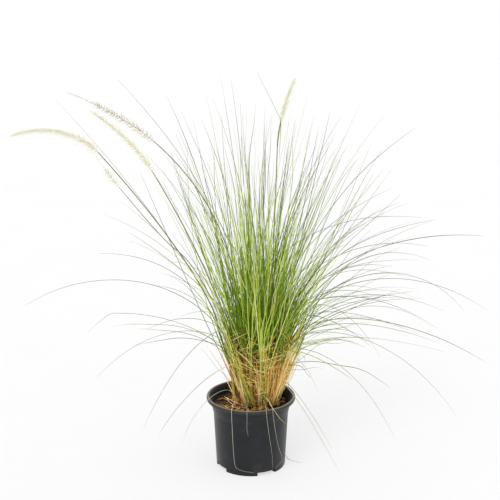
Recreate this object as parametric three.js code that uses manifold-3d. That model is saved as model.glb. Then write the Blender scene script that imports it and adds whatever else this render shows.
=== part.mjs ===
// A potted fountain grass: a clump of fine arching blades with four bottlebrush plumes, in a nursery pot.
// Millimetres, +Z up. The pot stands on z = 0 with its axis on the Z axis, and the front is -Y.

import * as THREE from 'three';
import { mergeVertices } from 'three/addons/utils/BufferGeometryUtils.js';
import Module from 'manifold-3d';

const wasm = await Module();
wasm.setup();

const GAP = 0.3;                  // left between pieces that touch
const LOWEST_TIP = 2;             // no blade reaches the ground

// Pot: a 19 cm nursery pot with a rolled rim, a tapered collar and a straight body
const POT_HEIGHT = 156;
const RIM_RADIUS = 95;
const RIM_DEPTH = 9;
const RIM_ROUNDING = 3;
const RIM_LAND = 3.5;             // from the rim's outer edge to the highest line of its roll
const FOOT_ROUNDING = 1.5;
const COLLAR_RADIUS = 85.4;
const COLLAR_TOP = 140;
const BODY_TOP_RADIUS = 80;
const BODY_TOP = 118;
const COLLAR_FOOT_RADIUS = 81.2;
const COLLAR_FOOT = 124;
const BASE_RADIUS = 74;
const WALL = 1.9;
const FLOOR = 3;
const POT_SIDES = 32;
const BLADE_CLEARANCE = 1.2;      // between the rim and what hangs over it

// Four low notches in the bottom edge let water out
const NOTCHES = 4;
const NOTCH_FIRST = 28;           // degrees from the front, turned so that two show there
const NOTCH_WIDTH = 34;           // degrees
const NOTCH_HEIGHT = 8;
const NOTCH_DEPTH = 17;
const DRAIN_RADIUS = 4.5;

// Soil
const SOIL_TOP = 135;
const SOIL_MOUND = 2;
const SOIL_ROUGHNESS = 1.1;
const SOIL_RINGS = 3;
const STEM_HOLE_RADIUS = 3.8;

// Clump: its places lie in a sunflower pattern, a little behind and to the right of the pot's axis
const CROWN_X = 12;
const CROWN_Y = 16;
const CROWN_RADIUS = 46;
const PLACES = 27;
const GOLDEN_ANGLE = 137.508;
const ROOT_Z = 138;               // where the sheaths leave their crown
const CROWN_LUMP_RADIUS = 7.2;
const CROWN_LUMP_TOP_RADIUS = 4.4;
const CROWN_LUMP_SIDES = 6;
const CROWN_LUMP_FOOT = 114;
const CROWN_LUMP_TOP = 146;

// Tillers: five stand in a ring on each crown, each a sheath that carries three blades
const TILLERS = 5;
const TILLER_RING = 4.6;
const SHORTEST_SHEATH = 95;
const LONGEST_SHEATH = 150;
const MIDDLE_LEAN = 2;            // degrees from upright in the middle of the clump
const EDGE_LEAN = 14;             // and at its edge
const SHEATH_RADIUS = 1.9;
const SHEATH_TOP_RADIUS = 1.5;
const SIDE_BLADES = 3;
const SIDE_LOWEST = 0.5;          // of the sheath's length
const SIDE_HIGHEST = 0.85;
const SIDE_LEAN = 9;              // degrees that a side blade leans more than its sheath
const CHOICES = 6;                // drawn for each blade: the first that is clear of the others grows

// Blades that are not listed one by one are drawn from these ranges. Most stand, and some of the outer
// ones droop. Slopes are in degrees.
const STANDING = { fall: [2, 36], bend: [0.6, 1.2], length: [340, 540] };
const DROOPING = { fall: [60, 125], bend: [0.4, 0.8], length: [260, 430], lean: 4 };
const DROOPING_SHARE = 0.28;
const DROOPS_FROM = 0.6;          // of the clump's radius
const MIDDLE_SPREAD = 170;        // degrees that a blade may turn from its sheath's heading
const EDGE_SPREAD = 50;

// Dead sheaths, cut short or broken off, between the tillers
const STUBS = 3;
const STUB_RING = 2.6;
const STUB_WIDTH = 3.2;
const STUB_DEPTH = 1.6;
const STUB_TURN = 90;
const STUB_LEANS = [0, 12];
const STUB_LENGTHS = [70, 150];
const STUB_KNEE = 0.6;            // of its length, where it bends outward

// Blade section: a shallow keel under a flat top
const BLADE_WIDTH = 2.8;
const BLADE_DEPTH = 0.85;
const SIDE_FOOT_WIDTH = 1.1;
const SIDE_FOOT_DEPTH = 0.7;
const ROUTE_STEPS = 48;
const TURN_PER_RING = 28;         // degrees
const FOLD_AT = 0.82;             // of the blade's length

// Culms and plumes
const CULM_FOOT_RADIUS = 1.6;
const CULM_TOP_RADIUS = 1.0;
const CULM_FOOT = 118;
const PLUME_CORE_RADIUS = 1.9;
const PLUME_SIDES = 6;
const PLUME_TWIST = 17;           // degrees from ring to ring
const BRISTLE_SPACING = 4.2;
const BRISTLE_LENGTH = 10.5;
const BRISTLE_SLANT = 48;         // degrees from the plume's axis

// Long blades that give the plant its outline. from and out say where a blade is rooted: the heading from
// the crown's middle, and the share of its radius. azimuth is the blade's own heading. Both are in degrees
// from +X. lean and fall are its slope from upright at the sheath and at the tip, length counts from the
// root, bend is small where the blade turns early, and fold is a kink near the tip.
const LONG_BLADES = [
  { from: 175, out: 0.95, azimuth: 178, lean: 5, fall: 124, length: 630, sheath: 110, bend: 0.66 },
  { from: 190, out: 0.95, azimuth: 184, lean: 7, fall: 98, length: 450, sheath: 95, bend: 0.42, fold: 36 },
  { from: 203, out: 0.95, azimuth: 188, lean: 10, fall: 140, length: 450, sheath: 130, bend: 0.38 },
  { from: 215, out: 0.95, azimuth: 194, lean: 15, fall: 156, length: 450, sheath: 175, bend: 0.13 },
  { from: 228, out: 0.95, azimuth: 200, lean: 6, fall: 148, length: 355, sheath: 95, bend: 0.17 },
  { from: 160, out: 0.9, azimuth: 172, lean: 14, fall: 43, length: 765, sheath: 150, bend: 0.35 },
  { from: 183, out: 0.5, azimuth: 186, lean: 12, fall: 69, length: 540, sheath: 150, bend: 0.85 },
  { from: 205, out: 0.6, azimuth: 192, lean: 17, fall: 90, length: 500, sheath: 180, bend: 0.95 },
  { from: 150, out: 0.3, azimuth: 160, lean: 3, fall: 47, length: 775, sheath: 220, bend: 0.5 },
  { from: 145, out: 0.7, azimuth: 165, lean: 6, fall: 26, length: 670, sheath: 200, bend: 0.9 },
  { from: 165, out: 0.6, azimuth: 182, lean: 20, fall: -2, length: 575, sheath: 150, bend: 0.8 },
  { from: 30, out: 0.8, azimuth: 10, lean: 9, fall: 58, length: 690, sheath: 200, bend: 0.8 },
  { from: 60, out: 0.6, azimuth: 25, lean: 11, fall: 74, length: 585, sheath: 230, bend: 0.5 },
  { from: 45, out: 0.9, azimuth: 8, lean: 11, fall: 72, length: 560, sheath: 200, bend: 0.6 },
  { from: 55, out: 0.95, azimuth: 12, lean: 14, fall: 86, length: 590, sheath: 190, bend: 0.55 },
  { from: 0, out: 0.6, azimuth: -5, lean: 13, fall: 94, length: 655, sheath: 200, bend: 0.55 },
  { from: -15, out: 0.95, azimuth: -8, lean: 15, fall: 124, length: 620, sheath: 190, bend: 0.6 },
  { from: 18, out: 0.95, azimuth: 5, lean: 18, fall: 145, length: 605, sheath: 170, bend: 0.85 },
  { from: -32, out: 0.95, azimuth: -15, lean: 21, fall: 108, length: 460, sheath: 170, bend: 0.28 },
  { from: -5, out: 0.95, azimuth: -10, lean: 14, fall: 80, length: 425, sheath: 130, bend: 0.36 },
  { from: -20, out: 0.6, azimuth: -14, lean: 16, fall: 104, length: 465, sheath: 120, bend: 0.24 },
  { from: 5, out: 0.95, azimuth: -4, lean: 15, fall: 122, length: 590, sheath: 150, bend: 0.3 },
  { from: -25, out: 0.8, azimuth: -12, lean: 19, fall: 146, length: 560, sheath: 140, bend: 0.38 },
  { from: -50, out: 0.95, azimuth: -24, lean: 17, fall: 154, length: 440, sheath: 130, bend: 0.3 },
  { from: -40, out: 0.7, azimuth: -20, lean: 19, fall: 122, length: 280, sheath: 130, bend: 0.15 },
];

// Dead blades that hang over the rim. They leave the crown a little higher, clear of the soil.
const DRY_RISE = 4;
const DRY_BLADES = [
  { from: -10, out: 0.95, azimuth: -14, lean: 30, fall: 151, length: 232, sheath: 50, bend: 0.06 },
  { from: -35, out: 0.95, azimuth: -42, lean: 30, fall: 141, length: 265, sheath: 50, bend: 0.05 },
  { from: 215, out: 0.95, azimuth: 222, lean: 42, fall: 158, length: 225, sheath: 50, bend: 0.45 },
  { from: -135, out: 0.95, azimuth: -106, lean: 70, fall: 178, length: 208, sheath: 80, bend: 0.1, fold: -40 },
  { from: -110, out: 0.95, azimuth: -94, lean: 70, fall: 178, length: 122, sheath: 76, bend: 0.1 },
  { from: -75, out: 0.95, azimuth: -83, lean: 64, fall: 177, length: 208, sheath: 76, bend: 0.1 },
  { from: -55, out: 0.95, azimuth: -80, lean: 70, fall: 176, length: 200, sheath: 76, bend: 0.1, fold: -50 },
];

// Flower stems, each with its plume. nod is the slope from upright at the plume's tip.
const FLOWERS = [
  {
    from: 180, out: 0.85, azimuth: 180, lean: 15, fall: 41, length: 620, sheath: 200, bend: 0.35,
    plume: 190, nod: 110,
  },
  {
    from: 172, out: 0.7, azimuth: 172, lean: 14, fall: 31, length: 532, sheath: 180, bend: 0.5,
    plume: 180, nod: 58,
  },
  {
    from: 172, out: 0.4, azimuth: 172, lean: 6, fall: 50, length: 612, sheath: 260, bend: 0.9,
    plume: 201, nod: 70,
  },
  {
    from: 20, out: 0.6, azimuth: 20, lean: 2, fall: 2, length: 548, sheath: 200, bend: 1,
    plume: 143, nod: 26,
  },
];
const PLUME_BEND = 0.8;

// Channels of the seeded draw, one for each thing that varies
const RING_TURN = 3;
const HEADING = 11;
const DROOPS = 12;
const FALL = 13;
const LENGTH = 14;
const DROOP_FALL = 15;
const BEND = 16;
const SHEATH_LENGTH = 17;
const STUB_HEADING = 18;
const STUB_LEAN = 19;
const STUB_LENGTH = 20;

const POT_COLOUR = 0x25262a;
const SOIL_COLOUR = 0x5f4028;
const BLADE_COLOUR = 0x6d8a3c;
const CULM_COLOUR = 0x9aa562;
const PLUME_COLOUR = 0xdccba0;

const group = new THREE.Group();

function radians(degrees) {
  return THREE.MathUtils.degToRad(degrees);
}

// A repeatable draw from 0 to 1
function noise(index, channel) {
  const wave = Math.sin(index * 12.9898 + channel * 78.233) * 43758.5453;
  return wave - Math.floor(wave);
}

function between(low, high, share) {
  return low + (high - low) * share;
}

// Closed solids

function solidOf(geometry) {
  geometry.deleteAttribute('normal');
  geometry.deleteAttribute('uv');
  const merged = mergeVertices(geometry, 1e-4);
  const vertProperties = new Float32Array(merged.attributes.position.array);
  const triVerts = new Uint32Array(merged.index.array);
  return new wasm.Manifold(new wasm.Mesh({ numProp: 3, vertProperties, triVerts }));
}

function geometryOf(solid) {
  const mesh = solid.getMesh();
  const geometry = new THREE.BufferGeometry();
  geometry.setAttribute('position', new THREE.BufferAttribute(mesh.vertProperties, 3));
  geometry.setIndex(new THREE.BufferAttribute(mesh.triVerts, 1));
  const flat = geometry.toNonIndexed();
  flat.computeVertexNormals();
  return flat;
}

function addNode(name, solid, colour, roughness) {
  const material = new THREE.MeshStandardMaterial({ color: colour, roughness, metalness: 0 });
  const mesh = new THREE.Mesh(geometryOf(solid), material);
  mesh.name = name;
  group.add(mesh);
}

// Sheaths that lean together can close in a small hollow. It is filled: only the outer skin stays.
function withoutHollows(solid) {
  return solid.decompose().reduce((outer, skin) => (skin.volume() > outer.volume() ? skin : outer));
}

function lathe(profile, sides) {
  const points = profile.map(([radius, height]) => new THREE.Vector2(radius, height));
  return new THREE.LatheGeometry(points, sides).rotateX(Math.PI / 2);
}

// A round peg along Z, for crowns and for holes
function peg(x, y, foot, top, footRadius, topRadius, sides) {
  const geometry = new THREE.CylinderGeometry(topRadius, footRadius, top - foot, sides);
  geometry.rotateX(Math.PI / 2);
  geometry.translate(x, y, (foot + top) / 2);
  return solidOf(geometry);
}

// Routes of sheaths, blades, culms and plumes

function direction(azimuth, slope) {
  const out = Math.sin(radians(slope));
  const x = out * Math.cos(radians(azimuth));
  const y = out * Math.sin(radians(azimuth));
  return new THREE.Vector3(x, y, Math.cos(radians(slope)));
}

// The centre line from start, whose slope from upright goes from lean to fall
function routeOf(start, { azimuth, lean, fall, bend, fold = 0 }, length) {
  const points = [start.clone()];
  const step = length / ROUTE_STEPS;
  for (let k = 0; k < ROUTE_STEPS; k++) {
    const share = (k + 0.5) / ROUTE_STEPS;
    const folded = share > FOLD_AT ? fold : 0;
    const slope = lean + (fall - lean) * share ** bend + folded;
    points.push(points[k].clone().addScaledVector(direction(azimuth, slope), step));
  }
  return points;
}

// The places along a route where its solid has a ring, closer together where it turns
function ringSteps({ lean, fall, bend, fold = 0 }) {
  const rings = 2 + Math.ceil((Math.abs(fall - lean) + Math.abs(fold)) / TURN_PER_RING);
  const steps = [0];
  for (let k = 1; k <= ROUTE_STEPS; k++) {
    const share = k / ROUTE_STEPS;
    const progress = 0.5 * share + 0.5 * share ** bend;
    if (progress * rings >= steps.length || k === ROUTE_STEPS) steps.push(k);
  }
  return steps;
}

// A strand is a row of three-sided sections that ends in a point
function strandOf(azimuth, sections) {
  return { azimuth, sections };
}

function bladeSections(route, shape, width, firstShare) {
  const sections = [];
  for (const step of ringSteps(shape)) {
    const share = step / ROUTE_STEPS;
    if (share < firstShare) continue;
    const taper = 1 - 0.62 * share ** 2.2;
    sections.push({ centre: route[step], width: width * taper, depth: BLADE_DEPTH * (1 - 0.25 * share) });
  }
  return sections;
}

// A tiller in one piece, from its root through the sheath to the blade's tip
function tillerStrand(root, sheathAzimuth, sheathLean, sheathLength, shape, bladeLength) {
  const top = root.clone().addScaledVector(direction(sheathAzimuth, sheathLean), sheathLength);
  const route = routeOf(top, shape, bladeLength);
  const sections = [
    { centre: root, width: 2 * SHEATH_RADIUS, depth: 1.8 * SHEATH_RADIUS },
    { centre: top, width: 2 * SHEATH_TOP_RADIUS, depth: 1.4 * SHEATH_TOP_RADIUS },
    ...bladeSections(route, shape, BLADE_WIDTH, 0.02),
  ];
  return strandOf(shape.azimuth, sections);
}

// A side blade starts narrow inside its sheath, so that it leaves through one face of it
function sideStrand(start, shape, bladeLength) {
  const route = routeOf(start, shape, bladeLength);
  const [first, ...rest] = bladeSections(route, shape, BLADE_WIDTH, 0);
  return strandOf(shape.azimuth, [{ ...first, width: SIDE_FOOT_WIDTH, depth: SIDE_FOOT_DEPTH }, ...rest]);
}

// The closed mesh of a strand: flat above, a keel below, a point at the tip
function strandSolid({ azimuth, sections }) {
  const side = new THREE.Vector3(-Math.sin(radians(azimuth)), Math.cos(radians(azimuth)), 0);
  const positions = [];
  const last = sections.length - 1;
  for (let k = 0; k < last; k++) {
    const { centre, width, depth } = sections[k];
    const before = sections[Math.max(k - 1, 0)].centre;
    const tangent = sections[k + 1].centre.clone().sub(before).normalize();
    const under = side.clone().cross(tangent).normalize();
    for (const [across, down] of [[-0.5, -0.3], [0.5, -0.3], [0, 0.7]]) {
      const corner = centre.clone().addScaledVector(side, across * width).addScaledVector(under, down * depth);
      positions.push(corner.x, corner.y, corner.z);
    }
  }
  const tip = sections[last].centre;
  positions.push(tip.x, tip.y, tip.z);
  const faces = [0, 2, 1];
  for (let k = 0; k < last - 1; k++) {
    for (let j = 0; j < 3; j++) {
      const a = 3 * k + j;
      const b = 3 * k + ((j + 1) % 3);
      faces.push(a, b, b + 3, a, b + 3, a + 3);
    }
  }
  const end = 3 * (last - 1);
  faces.push(end, end + 1, 3 * last, end + 1, end + 2, 3 * last, end + 2, end, 3 * last);
  return closedSolid(positions, faces);
}

// A solid from its corners and faces, turned inside out if its volume comes out negative
function closedSolid(positions, faces) {
  const corner = (k) => new THREE.Vector3().fromArray(positions, 3 * k);
  let volume = 0;
  for (let k = 0; k < faces.length; k += 3) {
    volume += corner(faces[k]).dot(corner(faces[k + 1]).cross(corner(faces[k + 2])));
  }
  const outward = volume > 0 ? faces : faces.toReversed();
  const mesh = { numProp: 3, vertProperties: new Float32Array(positions), triVerts: new Uint32Array(outward) };
  return new wasm.Manifold(new wasm.Mesh(mesh));
}

// Room: what has been placed so far, so that nothing crosses another piece

const placed = [];

// The straight stretches of a strand. The first of a tiller is its sheath.
function segmentsOf({ sections }, owner, tiller, startsWithSheath = false) {
  return sections.slice(1).map((to, k) => {
    const from = sections[k];
    const radius = Math.max(from.width, to.width) / 2;
    const sheath = startsWithSheath && k === 0;
    return { from: from.centre, to: to.centre, radius, owner, tiller, sheath };
  });
}

// The least distance between two straight segments
function segmentDistance(p, q) {
  const along = q.to.clone().sub(q.from);
  const across = p.to.clone().sub(p.from);
  const offset = p.from.clone().sub(q.from);
  const a = across.dot(across);
  const e = along.dot(along);
  const f = along.dot(offset);
  const c = across.dot(offset);
  const b = across.dot(along);
  const spread = a * e - b * b;
  let s = spread > 1e-9 ? THREE.MathUtils.clamp((b * f - c * e) / spread, 0, 1) : 0;
  let t = (b * s + f) / e;
  if (t < 0 || t > 1) {
    t = THREE.MathUtils.clamp(t, 0, 1);
    s = THREE.MathUtils.clamp((b * t - c) / a, 0, 1);
  }
  const nearP = p.from.clone().addScaledVector(across, s);
  const nearQ = q.from.clone().addScaledVector(along, t);
  return nearP.distanceTo(nearQ);
}

// In a tuft all strands grow from one crown, sheaths may touch, and a blade starts in its own sheath
function mayTouch(mine, other) {
  if (other.owner !== mine.owner) return false;
  return other.crown || (other.sheath && (mine.sheath || other.tiller === mine.tiller));
}

function isClear(segments) {
  return segments.every((mine) => mine.to.z > LOWEST_TIP && placed.every((other) => {
    return mayTouch(mine, other) || segmentDistance(mine, other) > mine.radius + other.radius + GAP;
  }));
}

function clearOfPot(segments) {
  return segments.every(({ from, to }) => [0, 0.25, 0.5, 0.75, 1].every((share) => {
    const point = from.clone().lerp(to, share);
    const radius = Math.hypot(point.x, point.y);
    const inside = radius < COLLAR_RADIUS - WALL - BLADE_CLEARANCE && point.z > SOIL_TOP;
    return inside || radius > RIM_RADIUS + BLADE_CLEARANCE || point.z > POT_HEIGHT + BLADE_CLEARANCE;
  }));
}

// Pot

function wallRadius(z) {
  if (z < BODY_TOP) return between(BASE_RADIUS, BODY_TOP_RADIUS, z / BODY_TOP);
  if (z < COLLAR_FOOT) {
    return between(BODY_TOP_RADIUS, COLLAR_FOOT_RADIUS, (z - BODY_TOP) / (COLLAR_FOOT - BODY_TOP));
  }
  return between(COLLAR_FOOT_RADIUS, COLLAR_RADIUS, (z - COLLAR_FOOT) / (COLLAR_TOP - COLLAR_FOOT));
}

function potProfile() {
  const rimFoot = POT_HEIGHT - RIM_DEPTH;
  const rimTop = RIM_RADIUS - RIM_LAND;
  const round = RIM_ROUNDING;
  return [
    [0, 0], [BASE_RADIUS - FOOT_ROUNDING, 0], [BASE_RADIUS, FOOT_ROUNDING],
    [BODY_TOP_RADIUS, BODY_TOP], [COLLAR_FOOT_RADIUS, COLLAR_FOOT], [COLLAR_RADIUS, COLLAR_TOP],
    [COLLAR_RADIUS + 0.3 * round, rimFoot - 0.2 * round], [RIM_RADIUS - 0.5 * round, rimFoot],
    [RIM_RADIUS, rimFoot + 0.7 * round], [RIM_RADIUS, POT_HEIGHT - round],
    [RIM_RADIUS - 0.4 * round, POT_HEIGHT - 0.2 * round], [rimTop, POT_HEIGHT],
    [rimTop - 0.7 * round, POT_HEIGHT - 0.3 * round], [rimTop - 1.1 * round, POT_HEIGHT - 1.1 * round],
    [COLLAR_RADIUS - WALL, COLLAR_TOP],
    [COLLAR_FOOT_RADIUS - WALL, COLLAR_FOOT], [BODY_TOP_RADIUS - WALL, BODY_TOP],
    [wallRadius(FLOOR) - WALL, FLOOR], [0, FLOOR],
  ];
}

// A sector of a ring with blunt ends, standing from foot to top
function sector(middle, width, innerRadius, outerRadius, foot, top) {
  const shape = new THREE.Shape();
  const from = radians(middle - width / 2);
  const to = radians(middle + width / 2);
  shape.absarc(0, 0, outerRadius, from, to, false);
  shape.absarc(0, 0, innerRadius, to, from, true);
  const options = { depth: top - foot, bevelEnabled: false, curveSegments: 4 };
  return solidOf(new THREE.ExtrudeGeometry(shape, options).translate(0, 0, foot));
}

function notchMiddles() {
  return Array.from({ length: NOTCHES }, (_, k) => NOTCH_FIRST - 90 + (k * 360) / NOTCHES);
}

function nurseryPot() {
  let pot = solidOf(lathe(potProfile(), POT_SIDES));
  const notchInner = BASE_RADIUS - NOTCH_DEPTH;
  const spare = (2 * WALL * 180) / (Math.PI * BASE_RADIUS);
  for (const middle of notchMiddles()) {
    const roofWidth = NOTCH_WIDTH + spare;
    const roofOuter = BASE_RADIUS - 1;
    pot = pot.add(sector(middle, roofWidth, notchInner - WALL, roofOuter, 1, NOTCH_HEIGHT + WALL));
    pot = pot.subtract(sector(middle, NOTCH_WIDTH, notchInner, BASE_RADIUS + 5, -1, NOTCH_HEIGHT));
    const drain = direction(middle, 90).multiplyScalar(notchInner + NOTCH_DEPTH / 2);
    const drainTop = NOTCH_HEIGHT + 2 * WALL;
    pot = pot.subtract(peg(drain.x, drain.y, FLOOR, drainTop, DRAIN_RADIUS, DRAIN_RADIUS, 10));
  }
  return pot;
}

// Soil

function soilProfile() {
  const clearance = WALL + GAP;
  const profile = [
    [0, FLOOR + GAP], [wallRadius(FLOOR) - clearance, FLOOR + GAP],
    [BODY_TOP_RADIUS - clearance, BODY_TOP], [COLLAR_FOOT_RADIUS - clearance, COLLAR_FOOT],
    [wallRadius(SOIL_TOP) - clearance - 0.6, SOIL_TOP],
  ];
  for (let ring = SOIL_RINGS - 1; ring >= 0; ring--) {
    const share = ring / SOIL_RINGS;
    profile.push([wallRadius(SOIL_TOP) * share, SOIL_TOP + SOIL_MOUND * (1 - share ** 2)]);
  }
  return profile;
}

// The top is rough and the rest smooth. It depends on the place alone, so the seam stays closed.
function roughenTop(geometry) {
  const position = geometry.attributes.position;
  for (let k = 0; k < position.count; k++) {
    const x = position.getX(k);
    const y = position.getY(k);
    if (position.getZ(k) <= SOIL_TOP + 0.01) continue;
    const wave = Math.sin(x * 0.31 + 1.3) * Math.cos(y * 0.27) + 0.6 * Math.sin(x * 0.13 - y * 0.41);
    position.setZ(k, position.getZ(k) + SOIL_ROUGHNESS * (wave - 0.9));
  }
  return geometry;
}

function pottingSoil(crowns, stems) {
  let soil = solidOf(roughenTop(lathe(soilProfile(), POT_SIDES)));
  const above = CROWN_LUMP_TOP + 10;
  const notchInner = BASE_RADIUS - NOTCH_DEPTH;
  for (const middle of notchMiddles()) {
    const width = NOTCH_WIDTH + 6;
    const top = NOTCH_HEIGHT + WALL + GAP;
    soil = soil.subtract(sector(middle, width, notchInner - WALL - GAP, BASE_RADIUS + 5, 0, top));
  }
  for (const { x, y } of crowns) {
    const radius = CROWN_LUMP_RADIUS + 1.2 * GAP;
    soil = soil.subtract(peg(x, y, CROWN_LUMP_FOOT - GAP, above, radius, radius, CROWN_LUMP_SIDES));
  }
  for (const { x, y } of stems) {
    soil = soil.subtract(peg(x, y, CULM_FOOT - GAP, above, STEM_HOLE_RADIUS, STEM_HOLE_RADIUS, 6));
  }
  return soil;
}

// Clump

function clumpPlace(index) {
  const radius = CROWN_RADIUS * Math.sqrt((index + 0.5) / PLACES);
  const offset = direction(index * GOLDEN_ANGLE, 90).multiplyScalar(radius);
  return new THREE.Vector3(CROWN_X + offset.x, CROWN_Y + offset.y, ROOT_Z);
}

// The free place nearest to a heading and a share of the crown's radius
function nearest(indexes, azimuth, out) {
  const offset = direction(azimuth, 90).multiplyScalar(out * CROWN_RADIUS);
  const wanted = new THREE.Vector3(CROWN_X + offset.x, CROWN_Y + offset.y, ROOT_Z);
  const distance = (index) => clumpPlace(index).distanceTo(wanted);
  return indexes.reduce((best, index) => (distance(index) < distance(best) ? index : best));
}

function tillerRoot(place, slot) {
  const angle = 360 * (slot / TILLERS + noise(place, RING_TURN));
  return clumpPlace(place).addScaledVector(direction(angle, 90), TILLER_RING);
}

// The free slot of a crown that lies furthest towards a heading
function slotTowards(place, free, azimuth) {
  const heading = direction(azimuth, 90);
  const reach = (slot) => tillerRoot(place, slot).dot(heading);
  return free.reduce((best, slot) => (reach(slot) > reach(best) ? slot : best));
}

// How a tiller that is not one of the long ones stands: further out it leans more
function sheathOf(place, slot) {
  const root = tillerRoot(place, slot);
  const x = root.x - CROWN_X;
  const y = root.y - CROWN_Y;
  const out = Math.min(1, Math.hypot(x, y) / CROWN_RADIUS);
  const azimuth = THREE.MathUtils.radToDeg(Math.atan2(y, x));
  const length = between(SHORTEST_SHEATH, LONGEST_SHEATH, noise(place * TILLERS + slot, SHEATH_LENGTH));
  return { root, out, azimuth, lean: between(MIDDLE_LEAN, EDGE_LEAN, out), length };
}

// One of the blades that a tiller could carry. Some of the outer ones droop, but not towards the front.
function drawnBlade(sheath, seed) {
  const turn = between(-1, 1, noise(seed, HEADING)) * between(MIDDLE_SPREAD, EDGE_SPREAD, sheath.out);
  const azimuth = sheath.azimuth + turn;
  const opensFront = Math.sin(radians(azimuth)) < -0.6;
  if (sheath.out > DROOPS_FROM && !opensFront && noise(seed, DROOPS) > 1 - DROOPING_SHARE) {
    return {
      azimuth,
      lean: sheath.lean + DROOPING.lean,
      fall: between(...DROOPING.fall, noise(seed, DROOP_FALL)),
      bend: between(...DROOPING.bend, noise(seed, BEND)),
      length: between(...DROOPING.length, noise(seed, LENGTH)),
    };
  }
  return {
    azimuth,
    lean: sheath.lean,
    fall: sheath.lean + between(...STANDING.fall, noise(seed, FALL)) * between(0.7, 1.15, sheath.out),
    bend: between(...STANDING.bend, noise(seed, BEND)),
    length: between(...STANDING.length, noise(seed, LENGTH)),
  };
}

function crownLump({ x, y }) {
  const profile = [
    [0, CROWN_LUMP_FOOT], [CROWN_LUMP_RADIUS, CROWN_LUMP_FOOT], [CROWN_LUMP_RADIUS, ROOT_Z],
    [CROWN_LUMP_TOP_RADIUS, CROWN_LUMP_TOP], [0, CROWN_LUMP_TOP],
  ];
  return solidOf(lathe(profile, CROWN_LUMP_SIDES).translate(x, y, 0));
}

const tufts = new Map();          // place: its solids and its free slots

function plant(place, strand, segments) {
  placed.push(...segments);
  tufts.get(place).solids.push(strandSolid(strand));
}

const NUDGES = [0, 1.5, -1.5, 3, -3, 4.5, -4.5, 6, -6, 8, -8, 10, -10, 13, -13, 16, -16];

function growLongBlade(shape) {
  const open = [...tufts.keys()].filter((place) => tufts.get(place).free.length > 0);
  const place = nearest(open, shape.from, shape.out);
  const slot = slotTowards(place, tufts.get(place).free, shape.azimuth);
  tufts.get(place).free = tufts.get(place).free.filter((other) => other !== slot);
  const root = tillerRoot(place, slot).add(new THREE.Vector3(0, 0, shape.rise ?? 0));
  for (const nudge of NUDGES) {
    const azimuth = shape.azimuth + nudge;
    const turned = { ...shape, azimuth };
    const bladeLength = shape.length - shape.sheath;
    const strand = tillerStrand(root, azimuth, shape.lean, shape.sheath, turned, bladeLength);
    const segments = segmentsOf(strand, place, slot, true);
    if (!isClear(segments) || !clearOfPot(segments)) continue;
    plant(place, strand, segments);
    return;
  }
  throw new Error(`no room for the long blade at azimuth ${shape.azimuth}, length ${shape.length}`);
}

function growTiller(place, slot) {
  const sheath = sheathOf(place, slot);
  for (let choice = 0; choice < CHOICES; choice++) {
    const seed = seedOf(place, slot, 0, choice);
    const shape = drawnBlade(sheath, seed);
    const strand = tillerStrand(sheath.root, sheath.azimuth, sheath.lean, sheath.length, shape, shape.length);
    const segments = segmentsOf(strand, place, slot, true);
    if (!isClear(segments) || !clearOfPot(segments)) continue;
    plant(place, strand, segments);
    return true;
  }
  return false;
}

function growSideBlade(place, slot, blade) {
  const sheath = sheathOf(place, slot);
  const height = sheath.length * between(SIDE_LOWEST, SIDE_HIGHEST, blade / (SIDE_BLADES + 1));
  const start = sheath.root.clone().addScaledVector(direction(sheath.azimuth, sheath.lean), height);
  for (let choice = 0; choice < CHOICES; choice++) {
    const shape = drawnBlade(sheath, seedOf(place, slot, blade, choice));
    const strand = sideStrand(start, { ...shape, lean: shape.lean + SIDE_LEAN }, shape.length);
    const segments = segmentsOf(strand, place, slot);
    if (!isClear(segments) || !clearOfPot(segments)) continue;
    plant(place, strand, segments);
    return;
  }
}

// A dead sheath stands between two tillers and leans its own way
function growStub(place, slot) {
  const foot = clumpPlace(place).addScaledVector(direction(360 * ((slot + 0.5) / TILLERS), 90), STUB_RING);
  const sheath = sheathOf(place, slot);
  for (let choice = 0; choice < CHOICES; choice++) {
    const seed = seedOf(place, slot, 0, choice);
    const azimuth = sheath.azimuth + between(-STUB_TURN, STUB_TURN, noise(seed, STUB_HEADING));
    const lean = sheath.lean + between(...STUB_LEANS, noise(seed, STUB_LEAN));
    const length = between(...STUB_LENGTHS, noise(seed, STUB_LENGTH));
    const knee = foot.clone().addScaledVector(direction(azimuth, lean), STUB_KNEE * length);
    const tip = knee.clone().addScaledVector(direction(azimuth, 1.5 * lean), (1 - STUB_KNEE) * length);
    const strand = strandOf(azimuth, [
      { centre: foot, width: STUB_WIDTH, depth: STUB_DEPTH },
      { centre: knee, width: 0.8 * STUB_WIDTH, depth: 0.8 * STUB_DEPTH },
      { centre: tip, width: 0, depth: 0 },
    ]);
    const segments = segmentsOf(strand, place, `stub ${slot}`, true);
    if (!isClear(segments) || !clearOfPot(segments)) continue;
    plant(place, strand, segments);
    return;
  }
}

function seedOf(place, slot, blade, choice) {
  return ((place * TILLERS + slot) * (SIDE_BLADES + 1) + blade) * CHOICES + choice + 1;
}

// Flower stems and plumes

// The faces of a tube of rings with the same number of corners, closed at both ends
function tubeFaces(rings, sides) {
  const faces = [];
  for (let ring = 0; ring < rings; ring++) {
    for (let k = 0; k < sides; k++) {
      const a = ring * sides + k;
      const b = ring * sides + ((k + 1) % sides);
      faces.push(a, b, b + sides, a, b + sides, a + sides);
    }
  }
  const last = rings * sides;
  for (let k = 1; k + 1 < sides; k++) {
    faces.push(0, k + 1, k, last, last + k, last + k + 1);
  }
  return faces;
}

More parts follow.
